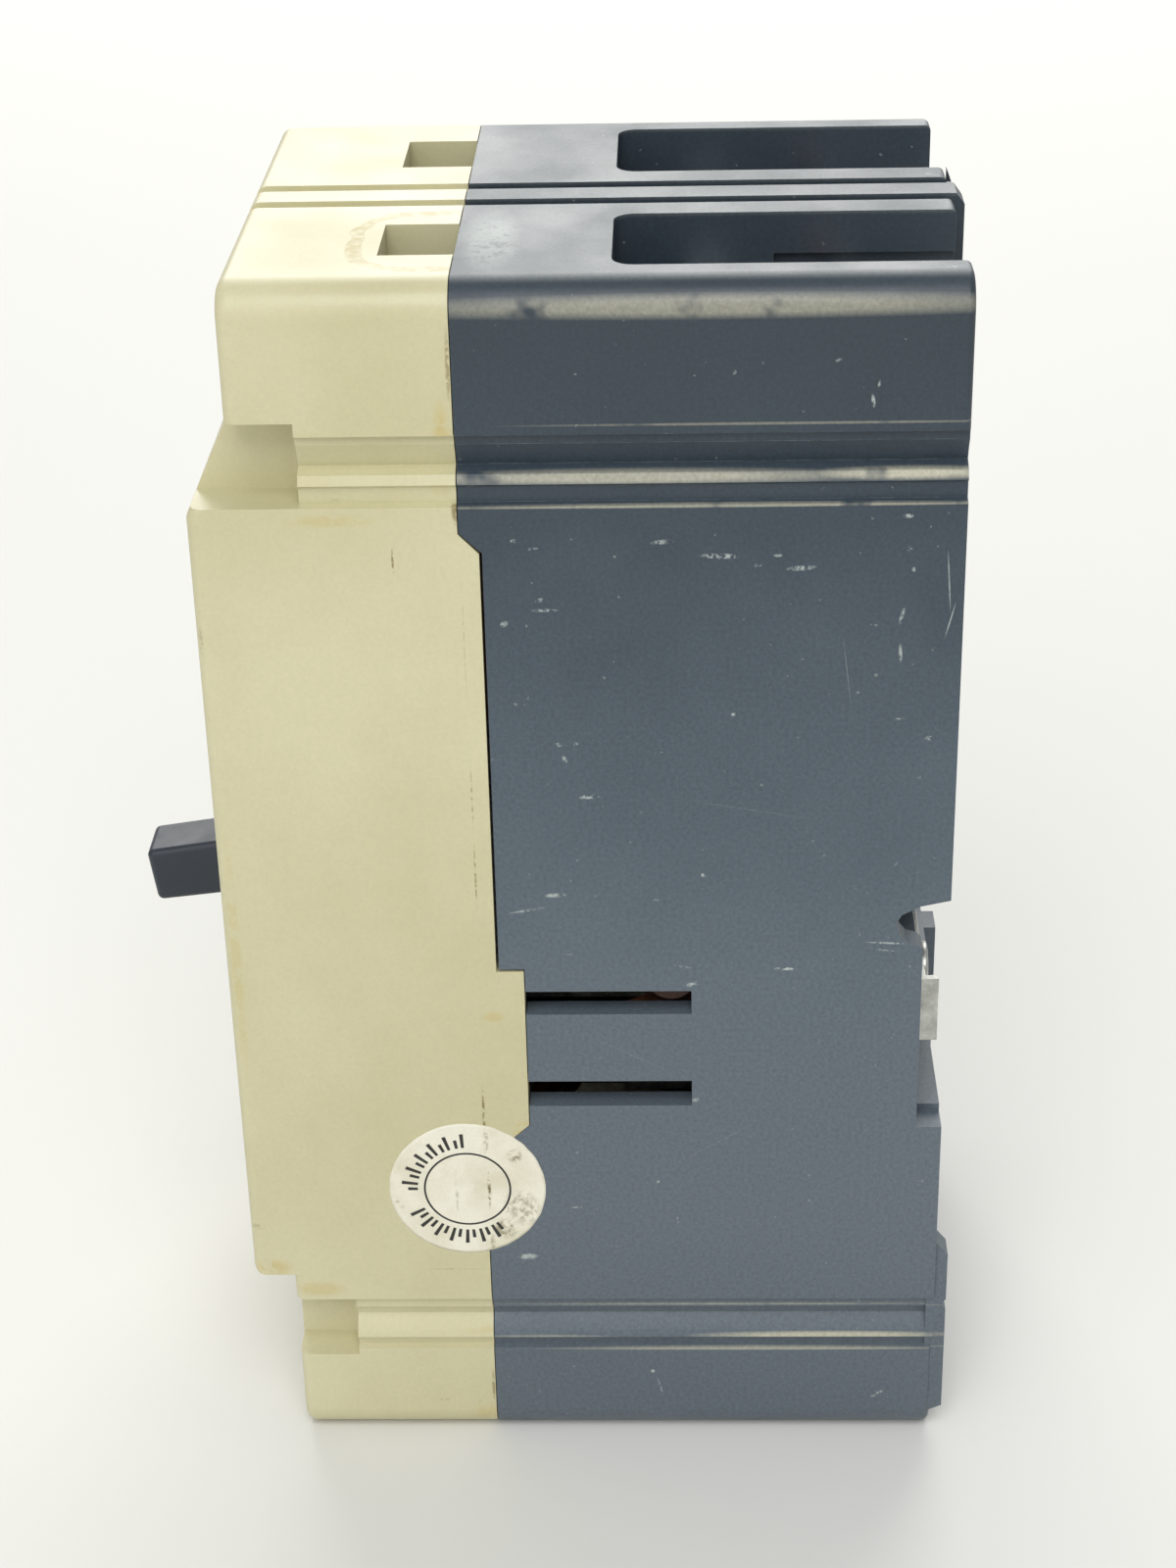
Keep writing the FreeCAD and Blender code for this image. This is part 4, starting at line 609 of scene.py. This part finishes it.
def sealPaper():
    form = bmesh.new()
    rows = []
    for ring in range(1, seal["rings"] + 1):
        row = []
        for step in range(seal["steps"]):
            angle = 2 * math.pi * step / seal["steps"]
            circled = Vector((math.cos(angle) * seal["edgeTurns"], math.sin(angle) * seal["edgeTurns"], 3))
            ragged = seal["edgeRagged"] * mm * (noise.noise(circled) - 1)
            radius = (sealRadius + ragged) * ring / seal["rings"]
            row.append(form.verts.new(onSeal(radius * math.cos(angle), radius * math.sin(angle))))
        rows.append(row)
    middle = form.verts.new(onSeal(0, 0))
    under = [form.verts.new((sealLow.x, v.co.y, v.co.z)) for v in rows[-1]]
    rows.append(under)
    for inner, outer in zip(rows, rows[1:]):
        for step in range(seal["steps"]):
            after = (step + 1) % seal["steps"]
            form.faces.new((inner[step], outer[step], outer[after], inner[after]))
    for step in range(seal["steps"]):
        form.faces.new((middle, rows[0][step], rows[0][(step + 1) % seal["steps"]]))
    form.faces.new(list(reversed(under)))
    bmesh.ops.recalc_face_normals(form, faces=form.faces)
    mesh = bpy.data.meshes.new("sealPaper")
    form.to_mesh(mesh)
    form.free()
    return mesh


def addBand(form, points, lift, closed=False):  # ink band from (inner, outer) point pairs, a thin solid
    rings = []
    for inner, outer in points:
        corners = [onSeal(*inner), onSeal(*outer), onSeal(*outer, lift), onSeal(*inner, lift)]
        rings.append([form.verts.new(c) for c in corners])
    pairs = list(zip(rings, rings[1:])) + ([(rings[-1], rings[0])] if closed else [])
    for a, b in pairs:
        for i in range(4):
            form.faces.new((a[i], b[i], b[(i + 1) % 4], a[(i + 1) % 4]))
    if not closed:
        form.faces.new(rings[0])
        form.faces.new(list(reversed(rings[-1])))


def polar(radius, angle):
    return radius * mm * math.cos(angle), radius * mm * math.sin(angle)


def sealInk():
    form = bmesh.new()
    half = seal["ringWide"] / 2
    circle = [2 * math.pi * i / seal["steps"] for i in range(seal["steps"])]
    addBand(form, [(polar(seal["ringRadius"] - half, a), polar(seal["ringRadius"] + half,
                                                               a)) for a in circle],
            seal["inkThick"], closed=True)
    for start, end, groups in sealArcs:
        for group in range(groups):
            middle = math.radians(start + (end - start) * group / (groups - 1))
            for shift, length in seal["ticks"]:
                angle = middle + shift
                wide = seal["tickWide"] / 2 / seal["tickOut"]
                reach = seal["tickIn"] + (seal["tickOut"] - seal["tickIn"]) * length
                steps = range(seal["tickRows"] + 1)
                rows = [seal["tickIn"] + (reach - seal["tickIn"]) * i / seal["tickRows"] for i in steps]
                addBand(form, [(polar(r, angle - wide), polar(r, angle + wide)) for r in rows],
                        seal["inkThick"])
    bmesh.ops.recalc_face_normals(form, faces=form.faces)
    mesh = bpy.data.meshes.new("sealInk")
    form.to_mesh(mesh)
    form.free()
    return mesh


def onLabel(u, v, halfU, halfV, tilt, strength):  # a smudge on the seal, from its middle, in mm
    depth = -sealCentre.y / mm - u
    height = (sealCentre.z - loadEnd) / mm + v
    return onSide(depth, height, halfU, halfV, tilt, strength)


sealSmudges = [onLabel(6.2, 5.1, 1.1, 1.2, 0, 0.75), onLabel(2.8, -0.2, 0.28, 3.2, 0, 1.0),
               onLabel(2.6, 7.5, 0.4, 2.4, 0, 0.55), onLabel(-1.4, -0.5, 0.25, 4.0, 0, 0.4),
               onLabel(7.0, -3.0, 2.6, 3.2, 20, 0.55), onLabel(4.6, -6.2, 1.8, 2.0, 30, 0.75),
               onLabel(-9.0, -2.0, 0.5, 1.6, 30, 0.35), onLabel(3.0, -8.4, 0.4, 1.5, 0, 0.7)]
paperSeal = newPiece("sealPaper", sealPaper())
paperSeal.data.materials.append(smudged("thumbedPaper", paper, sealSmudges, "#7d7350"))
settle(paperSeal, "housing", "paper_label", "seal_label")
inkMaterial = moulding("printedInk", {"dark": seal["ink"], "light": "#34312d", "cloudMm": 2, "grainMm": 0.2,
                                      "grainTone": 0.2, "grainDepthMm": 0.004, "smearMm": 2,
                                      "roughness": 0.5})
inkSeal = newPiece("sealInk", sealInk())
inkSeal.data.materials.append(inkMaterial)
settle(inkSeal, "housing", "paper_label")
for face in paperSeal.data.polygons:
    face.use_smooth = True
print("seal made")

# camera at the viewer's place, right of the case and above it
view = {"place": (0.33885, -0.0347, 0.17797), "aim": (0.0, -0.04651, 0.00013), "rollDeg": -1.346,
        "lens": 66.24, "sensor": 36.0, "clipStart": 0.01}
camera = bpy.data.objects.new("camera", bpy.data.cameras.new("camera"))
bpy.context.scene.collection.objects.link(camera)
camera.data.lens = view["lens"]
camera.data.sensor_width = view["sensor"]
sight = Vector(view["aim"]) - Vector(view["place"])
turn = sight.to_track_quat("-Z", "Y").to_matrix() @ Matrix.Rotation(math.radians(view["rollDeg"]), 3, "Z")
camera.matrix_world = Matrix.Translation(Vector(view["place"])) @ turn.to_4x4()
camera.data.clip_start = view["clipStart"]
bpy.context.scene.camera = camera

# studio: pale floor under the load end, a large soft light behind and above, and weaker fill from the front
studio = {"floor": "#e4e3de", "floorRoughness": 0.7, "size": 12.0, "aim": (0, -0.045, 0), "world": "#f2f5f8",
          "worldStrength": 0.44}
softLights = {"back": {"place": (-2.0, 0.0, 1.25), "size": 2.1, "watts": 47.0, "colour": "#fffefb"},
              "overhead": {"place": (0.75, -0.05, 0.95), "size": 0.75, "watts": 8.0, "colour": "#ffffff"},
              "front": {"place": (1.5, -0.9, 0.6), "size": 1.5, "watts": 7.0, "colour": "#ffffff"}}
for name, light in softLights.items():
    lamp = bpy.data.lights.new(name, "AREA")
    lamp.size = light["size"]
    lamp.energy = light["watts"]
    lamp.color = linear(light["colour"])[:3]
    holder = bpy.data.objects.new(name, lamp)
    bpy.context.scene.collection.objects.link(holder)
    place = Vector(light["place"])
    aim = Vector(studio["aim"]) - place
    holder.matrix_world = Matrix.Translation(place) @ aim.to_track_quat("-Z", "Y").to_matrix().to_4x4()
floorMesh = bpy.data.meshes.new("floor")
half = studio["size"] / 2
floorMesh.from_pydata([(-half, -half, cadLow.z), (half, -half, cadLow.z), (half, half, cadLow.z),
                       (-half, half, cadLow.z)], [], [(0, 1, 2, 3)])
floor = newPiece("floor", floorMesh)
floorMaterial, _, floorShader, _ = newMaterial("matteBoard")
floorShader.inputs["Base Color"].default_value = linear(studio["floor"])
floorShader.inputs["Roughness"].default_value = studio["floorRoughness"]
floor.data.materials.append(floorMaterial)
world = bpy.data.worlds.new("studio")
world.use_nodes = True
world.node_tree.nodes["Background"].inputs["Color"].default_value = linear(studio["world"])
world.node_tree.nodes["Background"].inputs["Strength"].default_value = studio["worldStrength"]
bpy.context.scene.world = world
bpy.context.scene.view_settings.view_transform = "Standard"
print("studio made")
